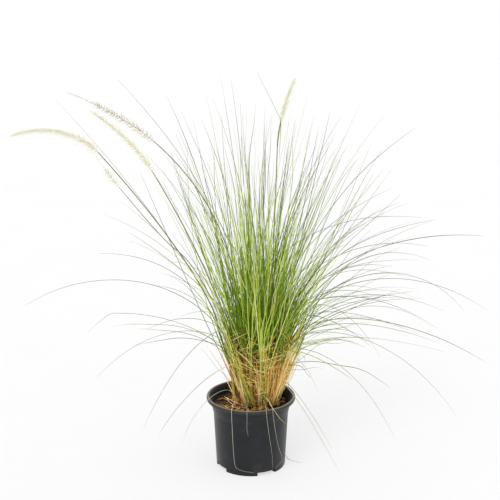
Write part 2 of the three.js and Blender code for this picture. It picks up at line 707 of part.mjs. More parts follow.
// A round stalk through the chosen steps of a route
function stalkSolid(route, steps, sides) {
  const positions = [];
  for (const step of steps) {
    const before = route[Math.max(step - 1, 0)];
    const after = route[Math.min(step + 1, route.length - 1)];
    const tangent = after.clone().sub(before).normalize();
    const across = new THREE.Vector3(0, 1, 0).addScaledVector(tangent, -tangent.y).normalize();
    const radius = between(CULM_FOOT_RADIUS, CULM_TOP_RADIUS, step / (route.length - 1));
    for (let k = 0; k < sides; k++) {
      const outward = across.clone().applyAxisAngle(tangent, (2 * Math.PI * k) / sides);
      const corner = route[step].clone().addScaledVector(outward, radius);
      positions.push(corner.x, corner.y, corner.z);
    }
  }
  return closedSolid(positions, tubeFaces(steps.length - 1, sides));
}

function evenSteps(count) {
  return Array.from({ length: count }, (_, k) => Math.round((k * ROUTE_STEPS) / (count - 1)));
}

// Thin at the foot, full for most of its length, fine at the tip
function plumeFullness(share) {
  return Math.min(1, 0.45 + 3 * share) * (1 - 0.7 * share ** 4);
}

// A slim core with bristles raised from it: in every second ring, each second corner is drawn out to a point
// that slants towards the plume's tip, and the next such ring takes the corners between
function plumeSolid(route, length) {
  const rings = Math.round(length / BRISTLE_SPACING);
  const positions = [];
  const slant = radians(BRISTLE_SLANT);
  for (let ring = 0; ring <= rings; ring++) {
    const share = ring / rings;
    const step = Math.min(Math.floor(share * ROUTE_STEPS), ROUTE_STEPS - 1);
    const centre = route[step].clone().lerp(route[step + 1], share * ROUTE_STEPS - step);
    const axis = route[step + 1].clone().sub(route[step]).normalize();
    const across = new THREE.Vector3(0, 1, 0).addScaledVector(axis, -axis.y).normalize();
    const core = PLUME_CORE_RADIUS * (1 - 0.6 * share) * Math.min(1, 0.55 + 3 * share);
    for (let corner = 0; corner < PLUME_SIDES; corner++) {
      const turn = (360 * corner) / PLUME_SIDES + PLUME_TWIST * ring;
      const outward = across.clone().applyAxisAngle(axis, radians(turn));
      const row = (ring - 1) / 2;
      const raised = ring % 2 === 1 && ring < rings && (corner + row) % 2 === 0;
      const reach = raised ? BRISTLE_LENGTH * plumeFullness(share) : 0;
      const point = centre.clone().addScaledVector(outward, core + reach * Math.sin(slant));
      point.addScaledVector(axis, reach * Math.cos(slant));
      positions.push(point.x, point.y, point.z);
    }
  }
  return closedSolid(positions, tubeFaces(rings, PLUME_SIDES));
}

function growFlower(index, shape, place) {
  const foot = clumpPlace(place);
  for (const nudge of NUDGES) {
    const azimuth = shape.azimuth + nudge;
    const bend = { ...shape, azimuth };
    const top = foot.clone().addScaledVector(direction(azimuth, shape.lean), shape.sheath);
    const stalk = routeOf(top, bend, shape.length - shape.sheath);
    const start = stalk[ROUTE_STEPS].clone().addScaledVector(direction(azimuth, shape.fall), GAP);
    const head = { azimuth, lean: shape.fall, fall: shape.nod, bend: PLUME_BEND };
    const plume = routeOf(start, head, shape.plume);
    const buried = new THREE.Vector3(foot.x, foot.y, CULM_FOOT);
    const route = [buried, foot, ...stalk];
    const steps = [0, 1, ...ringSteps(bend).map((step) => step + 2)];
    const owner = `flower ${index}`;
    const stalkSections = steps.map((step) => ({ centre: route[step], width: 2 * CULM_FOOT_RADIUS }));
    const plumeSections = evenSteps(5).map((step) => ({ centre: plume[step], width: 1.6 * BRISTLE_LENGTH }));
    const segments = [
      ...segmentsOf({ sections: stalkSections }, owner),
      ...segmentsOf({ sections: plumeSections }, owner),
    ];
    const clear = segments.slice(1).every((segment) => isClear([segment]));
    if (!clear) continue;
    placed.push(...segments);
    return { stalk: stalkSolid(route, steps, 5), plume: plumeSolid(plume, shape.plume) };
  }
  throw new Error(`no room for flower ${index}`);
}

// Growing the plant: the listed blades first, then the flowers, then the tillers that fill the clump, the
// dead sheaths between them and their side blades

const freePlaces = Array.from({ length: PLACES }, (_, index) => index);
const flowerPlaces = FLOWERS.map(({ from, out }) => {
  const place = nearest(freePlaces, from, out);
  freePlaces.splice(freePlaces.indexOf(place), 1);
  return place;
});
for (const place of freePlaces) {
  const { x, y } = clumpPlace(place);
  const axis = { from: new THREE.Vector3(x, y, CROWN_LUMP_FOOT), to: new THREE.Vector3(x, y, CROWN_LUMP_TOP) };
  placed.push({ ...axis, radius: CROWN_LUMP_RADIUS, owner: place, crown: true });
  const free = Array.from({ length: TILLERS }, (_, slot) => slot);
  tufts.set(place, { solids: [crownLump({ x, y })], free });
}
DRY_BLADES.forEach((shape) => growLongBlade({ ...shape, rise: DRY_RISE }));
LONG_BLADES.forEach(growLongBlade);
const flowers = FLOWERS.map((shape, index) => growFlower(index, shape, flowerPlaces[index]));

const grown = [];
for (let slot = 0; slot < TILLERS; slot++) {
  for (const place of freePlaces) {
    if (tufts.get(place).free.includes(slot) && growTiller(place, slot)) grown.push([place, slot]);
  }
}
for (const place of freePlaces) {
  for (let slot = 0; slot < STUBS; slot++) growStub(place, slot);
}
for (let blade = 1; blade <= SIDE_BLADES; blade++) {
  for (const [place, slot] of grown) growSideBlade(place, slot, blade);
}

const crowns = freePlaces.map(clumpPlace);
const stems = flowerPlaces.map(clumpPlace);
addNode('nursery_pot', nurseryPot(), POT_COLOUR, 0.55);
addNode('potting_soil', pottingSoil(crowns, stems), SOIL_COLOUR, 0.95);
freePlaces.forEach((place, index) => {
  const solid = tufts.get(place).solids.reduce((whole, piece) => whole.add(piece));
  addNode(`tuft_${String(index + 1).padStart(2, '0')}`, withoutHollows(solid), BLADE_COLOUR, 0.6);
});
flowers.forEach(({ stalk, plume }, index) => {
  addNode(`culm_${index + 1}`, stalk, CULM_COLOUR, 0.6);
  addNode(`plume_${index + 1}`, plume, PLUME_COLOUR, 0.85);
});

export default group;
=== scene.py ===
# The looks of a potted fountain grass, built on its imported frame. Everything is made in millimetres, by the
# same rules as the frame's solids, and written out in metres. The front is -Y.

import math
from types import SimpleNamespace

import bmesh
import bpy
import numpy as np
from mathutils import Matrix, Vector


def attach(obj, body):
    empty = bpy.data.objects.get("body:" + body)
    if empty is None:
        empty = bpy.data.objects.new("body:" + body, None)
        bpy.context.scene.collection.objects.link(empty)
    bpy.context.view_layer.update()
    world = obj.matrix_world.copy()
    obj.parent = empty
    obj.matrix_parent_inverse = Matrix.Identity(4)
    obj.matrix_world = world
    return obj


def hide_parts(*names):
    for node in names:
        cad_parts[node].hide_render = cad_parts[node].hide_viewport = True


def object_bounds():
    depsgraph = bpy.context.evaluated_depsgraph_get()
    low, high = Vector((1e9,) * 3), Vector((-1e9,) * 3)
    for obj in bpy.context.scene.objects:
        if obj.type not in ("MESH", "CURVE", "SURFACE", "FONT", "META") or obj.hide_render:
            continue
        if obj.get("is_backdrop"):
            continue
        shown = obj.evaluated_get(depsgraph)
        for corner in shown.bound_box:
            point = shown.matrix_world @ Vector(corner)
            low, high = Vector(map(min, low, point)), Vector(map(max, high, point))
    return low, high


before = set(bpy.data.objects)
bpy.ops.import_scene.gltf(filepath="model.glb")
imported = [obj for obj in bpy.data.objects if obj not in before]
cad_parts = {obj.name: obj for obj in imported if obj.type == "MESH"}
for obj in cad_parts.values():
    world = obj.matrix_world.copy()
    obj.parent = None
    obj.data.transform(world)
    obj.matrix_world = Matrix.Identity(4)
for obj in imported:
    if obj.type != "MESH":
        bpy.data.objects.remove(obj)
frame_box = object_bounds()

MM = 0.001

# Pot and soil, as in the frame
GAP = 0.3
LOWEST_TIP = 2
POT_HEIGHT = 156
RIM_RADIUS = 95
RIM_DEPTH = 9
RIM_ROUNDING = 3
RIM_LAND = 3.5
FOOT_ROUNDING = 1.5
COLLAR_RADIUS = 85.4
COLLAR_TOP = 140
BODY_TOP_RADIUS = 80
BODY_TOP = 118
COLLAR_FOOT_RADIUS = 81.2
COLLAR_FOOT = 124
BASE_RADIUS = 74
WALL = 1.9
FLOOR = 3
BLADE_CLEARANCE = 1.2
NOTCHES = 4
NOTCH_FIRST = 28
NOTCH_WIDTH = 34
NOTCH_HEIGHT = 8
NOTCH_DEPTH = 17
DRAIN_RADIUS = 4.5
SOIL_TOP = 135
SOIL_MOUND = 2
SOIL_ROUGHNESS = 1.1

# Clump, as in the frame
CROWN = np.array([12, 16, 138])  # the middle of the clump, where its sheaths leave the soil
CROWN_RADIUS = 46
PLACES = 27
GOLDEN_ANGLE = 137.508
CROWN_LUMP_RADIUS = 7.2
CROWN_LUMP_FOOT = 114
CROWN_LUMP_TOP = 146
TILLERS = 5
TILLER_RING = 4.6
SHEATH_LENGTHS = (95, 150)
LEANS = (2, 14)  # in the middle of the clump and at its edge
SHEATH_RADIUS = 1.9
SHEATH_TOP_RADIUS = 1.5
SIDE_BLADES = 3
SIDE_SPAN = (0.5, 0.85)  # of the sheath's length
SIDE_LEAN = 9
CHOICES = 6
STANDING = {"fall": (2, 36), "bend": (0.6, 1.2), "length": (340, 540)}
DROOPING = {"fall": (60, 125), "bend": (0.4, 0.8), "length": (260, 430), "lean": 4}
STANDING_MORE = (0.7, 1.15)  # how much more blades stand out in the middle and at the edge
DROOPING_SHARE = 0.28
DROOPS_FROM = 0.6
FRONT = -0.6  # the sine of a heading, below which no blade droops
SPREADS = (170, 50)  # how far a blade turns from its sheath, in the middle and at the edge
STUBS = 3
STUB_RING = 2.6
STUB_WIDTH = 3.2
STUB_TURN = 90
STUB_LEANS = (0, 12)
STUB_LENGTHS = (70, 150)
STUB_KNEE = 0.6
STUB_TILLER = 100
BLADE_WIDTH = 2.8
SIDE_FOOT_WIDTH = 1.1
ROUTE_STEPS = 48
TURN_PER_RING = 28
FOLD_AT = 0.82
SHEATH_TOP_SHARE = 0.02
CULM_FOOT_RADIUS = 1.6
CULM_TOP_RADIUS = 1.0
CULM_FOOT = 118
CULM_OWNER = 1000
BRISTLE_LENGTH = 10.5
PLUME_STRETCHES = 4
PLUME_BEND = 0.8
DRY_RISE = 4
NUDGES = (0, 1.5, -1.5, 3, -3, 4.5, -4.5, 6, -6, 8, -8, 10, -10, 13, -13, 16, -16)

COLUMNS = ("from", "out", "azimuth", "lean", "fall", "length", "sheath", "bend", "fold")
LONG_BLADES = [
    (175, 0.95, 178, 5, 124, 630, 110, 0.66),
    (190, 0.95, 184, 7, 98, 450, 95, 0.42, 36),
    (203, 0.95, 188, 10, 140, 450, 130, 0.38),
    (215, 0.95, 194, 15, 156, 450, 175, 0.13),
    (228, 0.95, 200, 6, 148, 355, 95, 0.17),
    (160, 0.9, 172, 14, 43, 765, 150, 0.35),
    (183, 0.5, 186, 12, 69, 540, 150, 0.85),
    (205, 0.6, 192, 17, 90, 500, 180, 0.95),
    (150, 0.3, 160, 3, 47, 775, 220, 0.5),
    (145, 0.7, 165, 6, 26, 670, 200, 0.9),
    (165, 0.6, 182, 20, -2, 575, 150, 0.8),
    (30, 0.8, 10, 9, 58, 690, 200, 0.8),
    (60, 0.6, 25, 11, 74, 585, 230, 0.5),
    (45, 0.9, 8, 11, 72, 560, 200, 0.6),
    (55, 0.95, 12, 14, 86, 590, 190, 0.55),
    (0, 0.6, -5, 13, 94, 655, 200, 0.55),
    (-15, 0.95, -8, 15, 124, 620, 190, 0.6),
    (18, 0.95, 5, 18, 145, 605, 170, 0.85),
    (-32, 0.95, -15, 21, 108, 460, 170, 0.28),
    (-5, 0.95, -10, 14, 80, 425, 130, 0.36),
    (-20, 0.6, -14, 16, 104, 465, 120, 0.24),
    (5, 0.95, -4, 15, 122, 590, 150, 0.3),
    (-25, 0.8, -12, 19, 146, 560, 140, 0.38),
    (-50, 0.95, -24, 17, 154, 440, 130, 0.3),
    (-40, 0.7, -20, 19, 122, 280, 130, 0.15),
]
DRY_BLADES = [
    (-10, 0.95, -14, 30, 151, 232, 50, 0.06),
    (-35, 0.95, -42, 30, 141, 265, 50, 0.05),
    (215, 0.95, 222, 42, 158, 225, 50, 0.45),
    (-135, 0.95, -106, 70, 178, 208, 80, 0.1, -40),
    (-110, 0.95, -94, 70, 178, 122, 76, 0.1),
    (-75, 0.95, -83, 64, 177, 208, 76, 0.1),
    (-55, 0.95, -80, 70, 176, 200, 76, 0.1, -50),
]
# Slim blades that are drawn here alone
SLIM_BLADES = [
    (35, 0.6, 20, 6, 54, 498, 60, 0.79),
    (10, 0.5, -15, 12, 25, 549, 60, 0.15),
    (60, 0.5, 22, 0, 102, 694, 260, 0.36),
    (20, 0.7, 8, 9, 84, 565, 131, 0.79),
    (-10, 0.8, -14, 9, 79, 555, 98, 0.85),
    (40, 0.8, 24, 6, 106, 612, 183, 0.49),
    (-30, 0.7, -22, 24, 109, 542, 259, 1.11),
    (15, 0.9, 12, 5, 96, 532, 200, 0.34),
    (5, 0.95, 6, 6, 103, 455, 75, 0.75),
    (50, 0.9, 28, 4, 111, 491, 156, 0.26),
    (-40, 0.8, -26, 12, 63, 440, 123, 0.15),
    (0, 0.9, -6, 16, 132, 459, 60, 1.15),
    (30, 0.9, 18, 28, 116, 429, 200, 0.15),
    (-20, 0.9, -10, 19, 128, 361, 209, 0.15),
    (-50, 0.9, -30, 24, 147, 442, 260, 0.29),
    (10, 0.95, 10, 10, 103, 285, 67, 0.46),
    (-30, 0.95, -20, 18, 158, 215, 118, 0.15),
    (-40, 0.4, -28, 0, 36, 638, 260, 0.4),
    (30, 0.4, 35, 16, 15, 640, 260, 0.68),
    (45, 0.5, 30, 12, 29, 673, 260, 0.17),
    (-20, 0.4, -34, 7, 27, 628, 126, 0.52),
    (80, 0.5, 50, 7, 22, 672, 60, 0.83),
    (-60, 0.3, -40, 0, 47, 616, 260, 1.1),
    (60, 0.4, 52, 11, 22, 629, 60, 0.47),
    (0, 0.2, -50, 4, 29, 612, 143, 0.6),
    (150, 0.5, 120, 16, 5, 618, 60, 0.68),
    (120, 0.3, 118, 2, 19, 708, 220, 0.15),
    (170, 0.2, 140, 0, 29, 662, 260, 0.83),
    (90, 0.3, 112, 6, 20, 693, 260, 0.42),
    (70, 0.5, 105, 23, 7, 648, 60, 0.76),
    (60, 0.4, 85, 0, 33, 637, 260, 1.09),
    (50, 0.5, 68, 10, 20, 604, 130, 0.84),
    (-150, 0.4, -145, 2, 26, 635, 192, 0.97),
    (160, 0.6, 148, 11, 13, 610, 98, 0.73),
    (140, 0.7, 125, 19, -2, 564, 260, 0.58),
    (150, 0.8, 164, 2, 57, 535, 60, 0.55),
    (210, 0.8, 196, 6, 54, 486, 174, 0.24),
    (-140, 0.7, -150, 14, 17, 544, 132, 0.15),
    (200, 0.7, 192, 23, 21, 548, 139, 0.97),
]
FLOWER_COLUMNS = (*COLUMNS[:-1], "plume", "nod")
FLOWERS = [
    (180, 0.85, 180, 15, 41, 620, 200, 0.35, 190, 110),
    (172, 0.7, 172, 14, 31, 532, 180, 0.5, 180, 58),
    (172, 0.4, 172, 6, 50, 612, 260, 0.9, 201, 70),
    (20, 0.6, 20, 2, 2, 548, 200, 1, 143, 26),
]

# Channels of the seeded draw. Those from 30 on are used for looks alone.
RING_TURN, HEADING, DROOPS, FALL, LENGTH, DROOP_FALL, BEND, SHEATH_LENGTH = 3, 11, 12, 13, 14, 15, 16, 17
STUB_HEADING, STUB_LEAN, STUB_LENGTH = 18, 19, 20
TONE, TWIST, WAVE, DRY_START, DRY_TIP, THICK, KEPT, TURNS_FAR, FINE_LENGTH, FINE_TURN = (
    30, 31, 32, 33, 34, 35, 41, 42, 54, 56,
)  # fmt: skip
# Where the seeds of the listed shoots, and of those that are made here alone, start
LISTED_SEEDS, SLIM_SEEDS, ARCHING_SEEDS, FINE_SEEDS = 7000, 8000, 8500, 9000


def rows(table, columns=COLUMNS):
    return [dict(zip(columns, row)) for row in table]


def noise(index, channel):
    wave = math.sin(index * 12.9898 + channel * 78.233) * 43758.5453
    return wave - math.floor(wave)


def between(low, high, share):
    return low + (high - low) * share


def varied(limits, seed, channel):
    return between(*limits, noise(seed, channel))


def direction(azimuth, slope):
    a, s = math.radians(azimuth), math.radians(slope)
    return np.array([math.sin(s) * math.cos(a), math.sin(s) * math.sin(a), math.cos(s)])


def level(azimuth, distance=1.0):
    """A step on the level."""
    a = math.radians(azimuth)
    return np.array([math.cos(a), math.sin(a), 0.0]) * distance


# Routes and the room that each strand needs, as in the frame


def route_of(start, shape):
    """A strand's line, whose slope goes from lean to fall, and which folds near its tip."""
    share = (np.arange(ROUTE_STEPS) + 0.5) / ROUTE_STEPS
    slope = shape["lean"] + (shape["fall"] - shape["lean"]) * share ** shape["bend"]
    slope = np.radians(slope + np.where(share > FOLD_AT, shape.get("fold", 0), 0))
    a = math.radians(shape["azimuth"])
    heading = np.stack([np.sin(slope) * math.cos(a), np.sin(slope) * math.sin(a), np.cos(slope)], 1)
    return np.vstack([start, start + np.cumsum(heading, 0) * (shape["length"] / ROUTE_STEPS)])


def ring_steps(shape):
    rings = 2 + math.ceil((abs(shape["fall"] - shape["lean"]) + abs(shape.get("fold", 0))) / TURN_PER_RING)
    steps = [0]
    for k in range(1, ROUTE_STEPS + 1):
        share = k / ROUTE_STEPS
        if (0.5 * share + 0.5 * share ** shape["bend"]) * rings >= len(steps) or k == ROUTE_STEPS:
            steps.append(k)
    return steps


class Room:
    """The straight stretches of what has been placed, so that the same strands grow as in the frame."""

    def __init__(self):
        self.ends = np.zeros((0, 2, 3))
        self.radius = np.zeros(0)
        self.tags = np.zeros((0, 4), int)  # owner, tiller, is a sheath, is a crown

    def add(self, ends, radius, tags):
        self.ends = np.concatenate([self.ends, ends])
        self.radius = np.concatenate([self.radius, radius])
        self.tags = np.concatenate([self.tags, tags])

    def clear(self, ends, radius, tags):
        if (ends[:, 1, 2] <= LOWEST_TIP).any():
            return False
        p, across = ends[:, None, 0], (ends[:, 1] - ends[:, 0])[:, None]
        q, along = self.ends[None, :, 0], (self.ends[:, 1] - self.ends[:, 0])[None]
        offset = p - q
        a, e = (across * across).sum(2), (along * along).sum(2)
        f, c, b = (along * offset).sum(2), (across * offset).sum(2), (across * along).sum(2)
        spread = a * e - b * b
        s = np.where(spread > 1e-9, np.clip((b * f - c * e) / np.maximum(spread, 1e-9), 0, 1), 0)
        t = (b * s + f) / e
        beyond = (t < 0) | (t > 1)
        t = np.clip(t, 0, 1)
        s = np.where(beyond, np.clip((b * t - c) / a, 0, 1), s)
        apart = np.linalg.norm(p + across * s[..., None] - q - along * t[..., None], axis=2)
        mine, other = tags[:, None], self.tags[None]
        own = mine[..., 0] == other[..., 0]
        sheaths = (other[..., 2] == 1) & ((mine[..., 2] == 1) | (mine[..., 1] == other[..., 1]))
        may_touch = own & ((other[..., 3] == 1) | sheaths)
        return bool((may_touch | (apart > radius[:, None] + self.radius[None] + GAP)).all())


room = Room()


def stretches(points, widths, owner, tiller, sheath_first=False):
    points, widths = np.array(points), np.array(widths, float)
    ends = np.stack([points[:-1], points[1:]], 1)
    tags = np.zeros((len(ends), 4), int)
    tags[:, 0], tags[:, 1] = owner, tiller
    tags[0, 2] = int(sheath_first)
    return ends, np.maximum(widths[:-1], widths[1:]) / 2, tags


def clear_of_pot(ends):
    for share in (0, 0.25, 0.5, 0.75, 1):
        point = ends[:, 0] * (1 - share) + ends[:, 1] * share
        radius = np.hypot(point[:, 0], point[:, 1])
        inside = (radius < COLLAR_RADIUS - WALL - BLADE_CLEARANCE) & (point[:, 2] > SOIL_TOP)
        above = point[:, 2] > POT_HEIGHT + BLADE_CLEARANCE
        if not (inside | (radius > RIM_RADIUS + BLADE_CLEARANCE) | above).all():
            return False
    return True


def blade_stretches(start, shape, first_share):
    route = route_of(start, shape)
    steps = [step for step in ring_steps(shape) if step / ROUTE_STEPS >= first_share]
    widths = [BLADE_WIDTH * (1 - 0.62 * (step / ROUTE_STEPS) ** 2.2) for step in steps]
    return [route[step] for step in steps], widths


def clump_place(index):
    return CROWN + level(index * GOLDEN_ANGLE, CROWN_RADIUS * math.sqrt((index + 0.5) / PLACES))


def nearest(places, point):
    return min(places, key=lambda place: np.linalg.norm((clump_place(place) - point)[:2]))


def wanted_root(shape):
    return CROWN + level(shape["from"], shape["out"] * CROWN_RADIUS)


def tiller_root(place, slot):
    return clump_place(place) + level(360 * (slot / TILLERS + noise(place, RING_TURN)), TILLER_RING)


def sheath_of(place, slot):
    root = tiller_root(place, slot)
    x, y, _ = root - CROWN
    out = min(1, math.hypot(x, y) / CROWN_RADIUS)
    length = varied(SHEATH_LENGTHS, place * TILLERS + slot, SHEATH_LENGTH)
    azimuth = math.degrees(math.atan2(y, x))
    return {"root": root, "out": out, "azimuth": azimuth, "lean": between(*LEANS, out), "length": length}


def up_sheath(sheath, share=1.0):
    return sheath["root"] + direction(sheath["azimuth"], sheath["lean"]) * (sheath["length"] * share)


def drawn_blade(sheath, seed):
    """A blade that stands, or one that droops at the clump's sides or back."""
    out, lean = sheath["out"], sheath["lean"]
    azimuth = sheath["azimuth"] + varied((-1, 1), seed, HEADING) * between(*SPREADS, out)
    front = math.sin(math.radians(azimuth)) < FRONT
    if out > DROOPS_FROM and not front and noise(seed, DROOPS) > 1 - DROOPING_SHARE:
        kind, lean = DROOPING, lean + DROOPING["lean"]
        fall = varied(DROOPING["fall"], seed, DROOP_FALL)
    else:
        kind = STANDING
        fall = lean + varied(STANDING["fall"], seed, FALL) * between(*STANDING_MORE, out)
    bend, length = varied(kind["bend"], seed, BEND), varied(kind["length"], seed, LENGTH)
    return {"azimuth": azimuth, "lean": lean, "fall": fall, "bend": bend, "length": length}


def seed_of(place, slot, blade, choice):
    return ((place * TILLERS + slot) * (SIDE_BLADES + 1) + blade) * CHOICES + choice + 1


strands = []  # what grows: its place, its kind, its sheath, its blade and its seed


def grow(kind, place, options):
    """Grows the first option that has room. Each is its stretches, its sheath, its blade and its seed."""
    for stretch, sheath, shape, seed in options:
        if room.clear(*stretch) and clear_of_pot(stretch[0]):
            room.add(*stretch)
            strands.append((place, kind, sheath, shape, seed))
            return True
    return False


def tiller_stretches(sheath, shape, place, slot):
    top = up_sheath(sheath)
    points, widths = blade_stretches(top, shape, SHEATH_TOP_SHARE)
    widths = [2 * SHEATH_RADIUS, 2 * SHEATH_TOP_RADIUS] + widths
    return stretches([sheath["root"], top] + points, widths, place, slot, True)


def listed_tillers(shape, place, slot, rise):
    root = tiller_root(place, slot) + (0, 0, rise)
    for nudge in NUDGES:
        azimuth = shape["azimuth"] + nudge
        sheath = {"root": root, "azimuth": azimuth, "lean": shape["lean"], "length": shape["sheath"]}
        blade = {**shape, "azimuth": azimuth, "length": shape["length"] - shape["sheath"]}
        yield tiller_stretches(sheath, blade, place, slot), sheath, blade, LISTED_SEEDS + len(strands)


def grow_listed(kind, shape, rise=0):
    place = nearest([place for place in free_places if free_slots[place]], wanted_root(shape))
    slot = max(free_slots[place], key=lambda slot: tiller_root(place, slot) @ level(shape["azimuth"]))
    free_slots[place].remove(slot)
    if not grow(kind, place, listed_tillers(shape, place, slot, rise)):
        raise RuntimeError("a listed blade finds no room")


def tillers(place, slot):
    sheath = sheath_of(place, slot)
    for choice in range(CHOICES):
        seed = seed_of(place, slot, 0, choice)
        shape = drawn_blade(sheath, seed)
        yield tiller_stretches(sheath, shape, place, slot), sheath, shape, seed


def side_blades(place, slot, blade):
    sheath = sheath_of(place, slot)
    start = up_sheath(sheath, between(*SIDE_SPAN, blade / (SIDE_BLADES + 1)))
    for choice in range(CHOICES):
        seed = seed_of(place, slot, blade, choice)
        shape = drawn_blade(sheath, seed)
        shape["lean"] += SIDE_LEAN
        points, widths = blade_stretches(start, shape, 0)
        widths[0] = SIDE_FOOT_WIDTH
        yield stretches(points, widths, place, slot), {**sheath, "start": start}, shape, seed


def stubs(place, slot):
    foot = clump_place(place) + level(360 * ((slot + 0.5) / TILLERS), STUB_RING)
    sheath = sheath_of(place, slot)
    for choice in range(CHOICES):
        seed = seed_of(place, slot, 0, choice)
        azimuth = sheath["azimuth"] + varied((-STUB_TURN, STUB_TURN), seed, STUB_HEADING)
        lean = sheath["lean"] + varied(STUB_LEANS, seed, STUB_LEAN)
        length = varied(STUB_LENGTHS, seed, STUB_LENGTH)
        knee = foot + direction(azimuth, lean) * STUB_KNEE * length
        tip = knee + direction(azimuth, 1.5 * lean) * (1 - STUB_KNEE) * length
        widths = [STUB_WIDTH, 0.8 * STUB_WIDTH, 0]
        stretch = stretches([foot, knee, tip], widths, place, STUB_TILLER + slot, True)
        yield stretch, sheath, {"azimuth": azimuth, "points": (foot, knee, tip)}, seed


flowers = []  # the route of each flower's stem and plume


def grow_flower(index, shape, place):
    foot = clump_place(place)
    for nudge in NUDGES:
        azimuth = shape["azimuth"] + nudge
        top = foot + direction(azimuth, shape["lean"]) * shape["sheath"]
        stalk = route_of(top, {**shape, "azimuth": azimuth, "length": shape["length"] - shape["sheath"]})
        start = stalk[-1] + direction(azimuth, shape["fall"]) * GAP
        nodding = {"azimuth": azimuth, "lean": shape["fall"], "fall": shape["nod"], "bend": PLUME_BEND}
        plume = route_of(start, {**nodding, "length": shape["plume"]})
        route = np.vstack([[foot[0], foot[1], CULM_FOOT], foot, stalk])
        steps = [0, 1] + [step + 2 for step in ring_steps(shape)]
        stalk_parts = stretches(route[steps], [2 * CULM_FOOT_RADIUS] * len(steps), CULM_OWNER + index, 0)
        points = plume[:: ROUTE_STEPS // PLUME_STRETCHES]
        plume_parts = stretches(points, [1.6 * BRISTLE_LENGTH] * len(points), CULM_OWNER + index, 0)
        parts = [np.concatenate(pair) for pair in zip(stalk_parts, plume_parts)]
        if all(room.clear(*(part[k : k + 1] for part in parts)) for k in range(1, len(parts[0]))):
            room.add(*parts)
            flowers.append({"azimuth": azimuth, "route": route, "plume": plume})
            return
    raise RuntimeError("a flower finds no room")


free_places = list(range(PLACES))
flower_places = []
for row in rows(FLOWERS, FLOWER_COLUMNS):
    flower_places.append(nearest(free_places, wanted_root(row)))
    free_places.remove(flower_places[-1])
free_slots = {place: list(range(TILLERS)) for place in free_places}
for place in free_places:
    x, y, _ = clump_place(place)
    crown = np.array([[[x, y, CROWN_LUMP_FOOT], [x, y, CROWN_LUMP_TOP]]])
    room.add(crown, np.array([CROWN_LUMP_RADIUS]), np.array([[place, -1, 0, 1]]))
for row in rows(DRY_BLADES):
    grow_listed("dry", row, DRY_RISE)
for row in rows(LONG_BLADES):
    grow_listed("long", row)
for index, row in enumerate(rows(FLOWERS, FLOWER_COLUMNS)):
    grow_flower(index, row, flower_places[index])
crowns = [(place, slot) for slot in range(TILLERS) for place in free_places if slot in free_slots[place]]
grown = [(place, slot) for place, slot in crowns if grow("tiller", place, tillers(place, slot))]
for place in free_places:
    for slot in range(STUBS):
        grow("stub", place, stubs(place, slot))
for blade in range(1, SIDE_BLADES + 1):
    for place, slot in grown:
        grow("side", place, side_blades(place, slot, blade))


# Fine meshes

STRIPS_PER_COLUMN = 12  # how much longer than wide a strand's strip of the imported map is
STRIP_GAPS = (0.01, 0.08)  # left free at a strip's ends and sides


def smooth(low, high, value):
    t = np.clip((np.asarray(value, float) - low) / (high - low), 0, 1)
    return t * t * (3 - 2 * t)


def unit(vectors):
    return vectors / np.maximum(np.linalg.norm(vectors, axis=-1, keepdims=True), 1e-12)


def packed_strips(maps, strips, count):
    """Strips side by side, in columns, so that one square map holds them all."""
    columns = max(1, round(math.sqrt(count / STRIPS_PER_COLUMN)))
    sizes = np.array([columns, math.ceil(count / columns)])
    corner = np.stack([strips % columns, strips // columns], 1)
    gaps = np.array(STRIP_GAPS)
    return (corner + gaps + (1 - 2 * gaps) * maps) / sizes


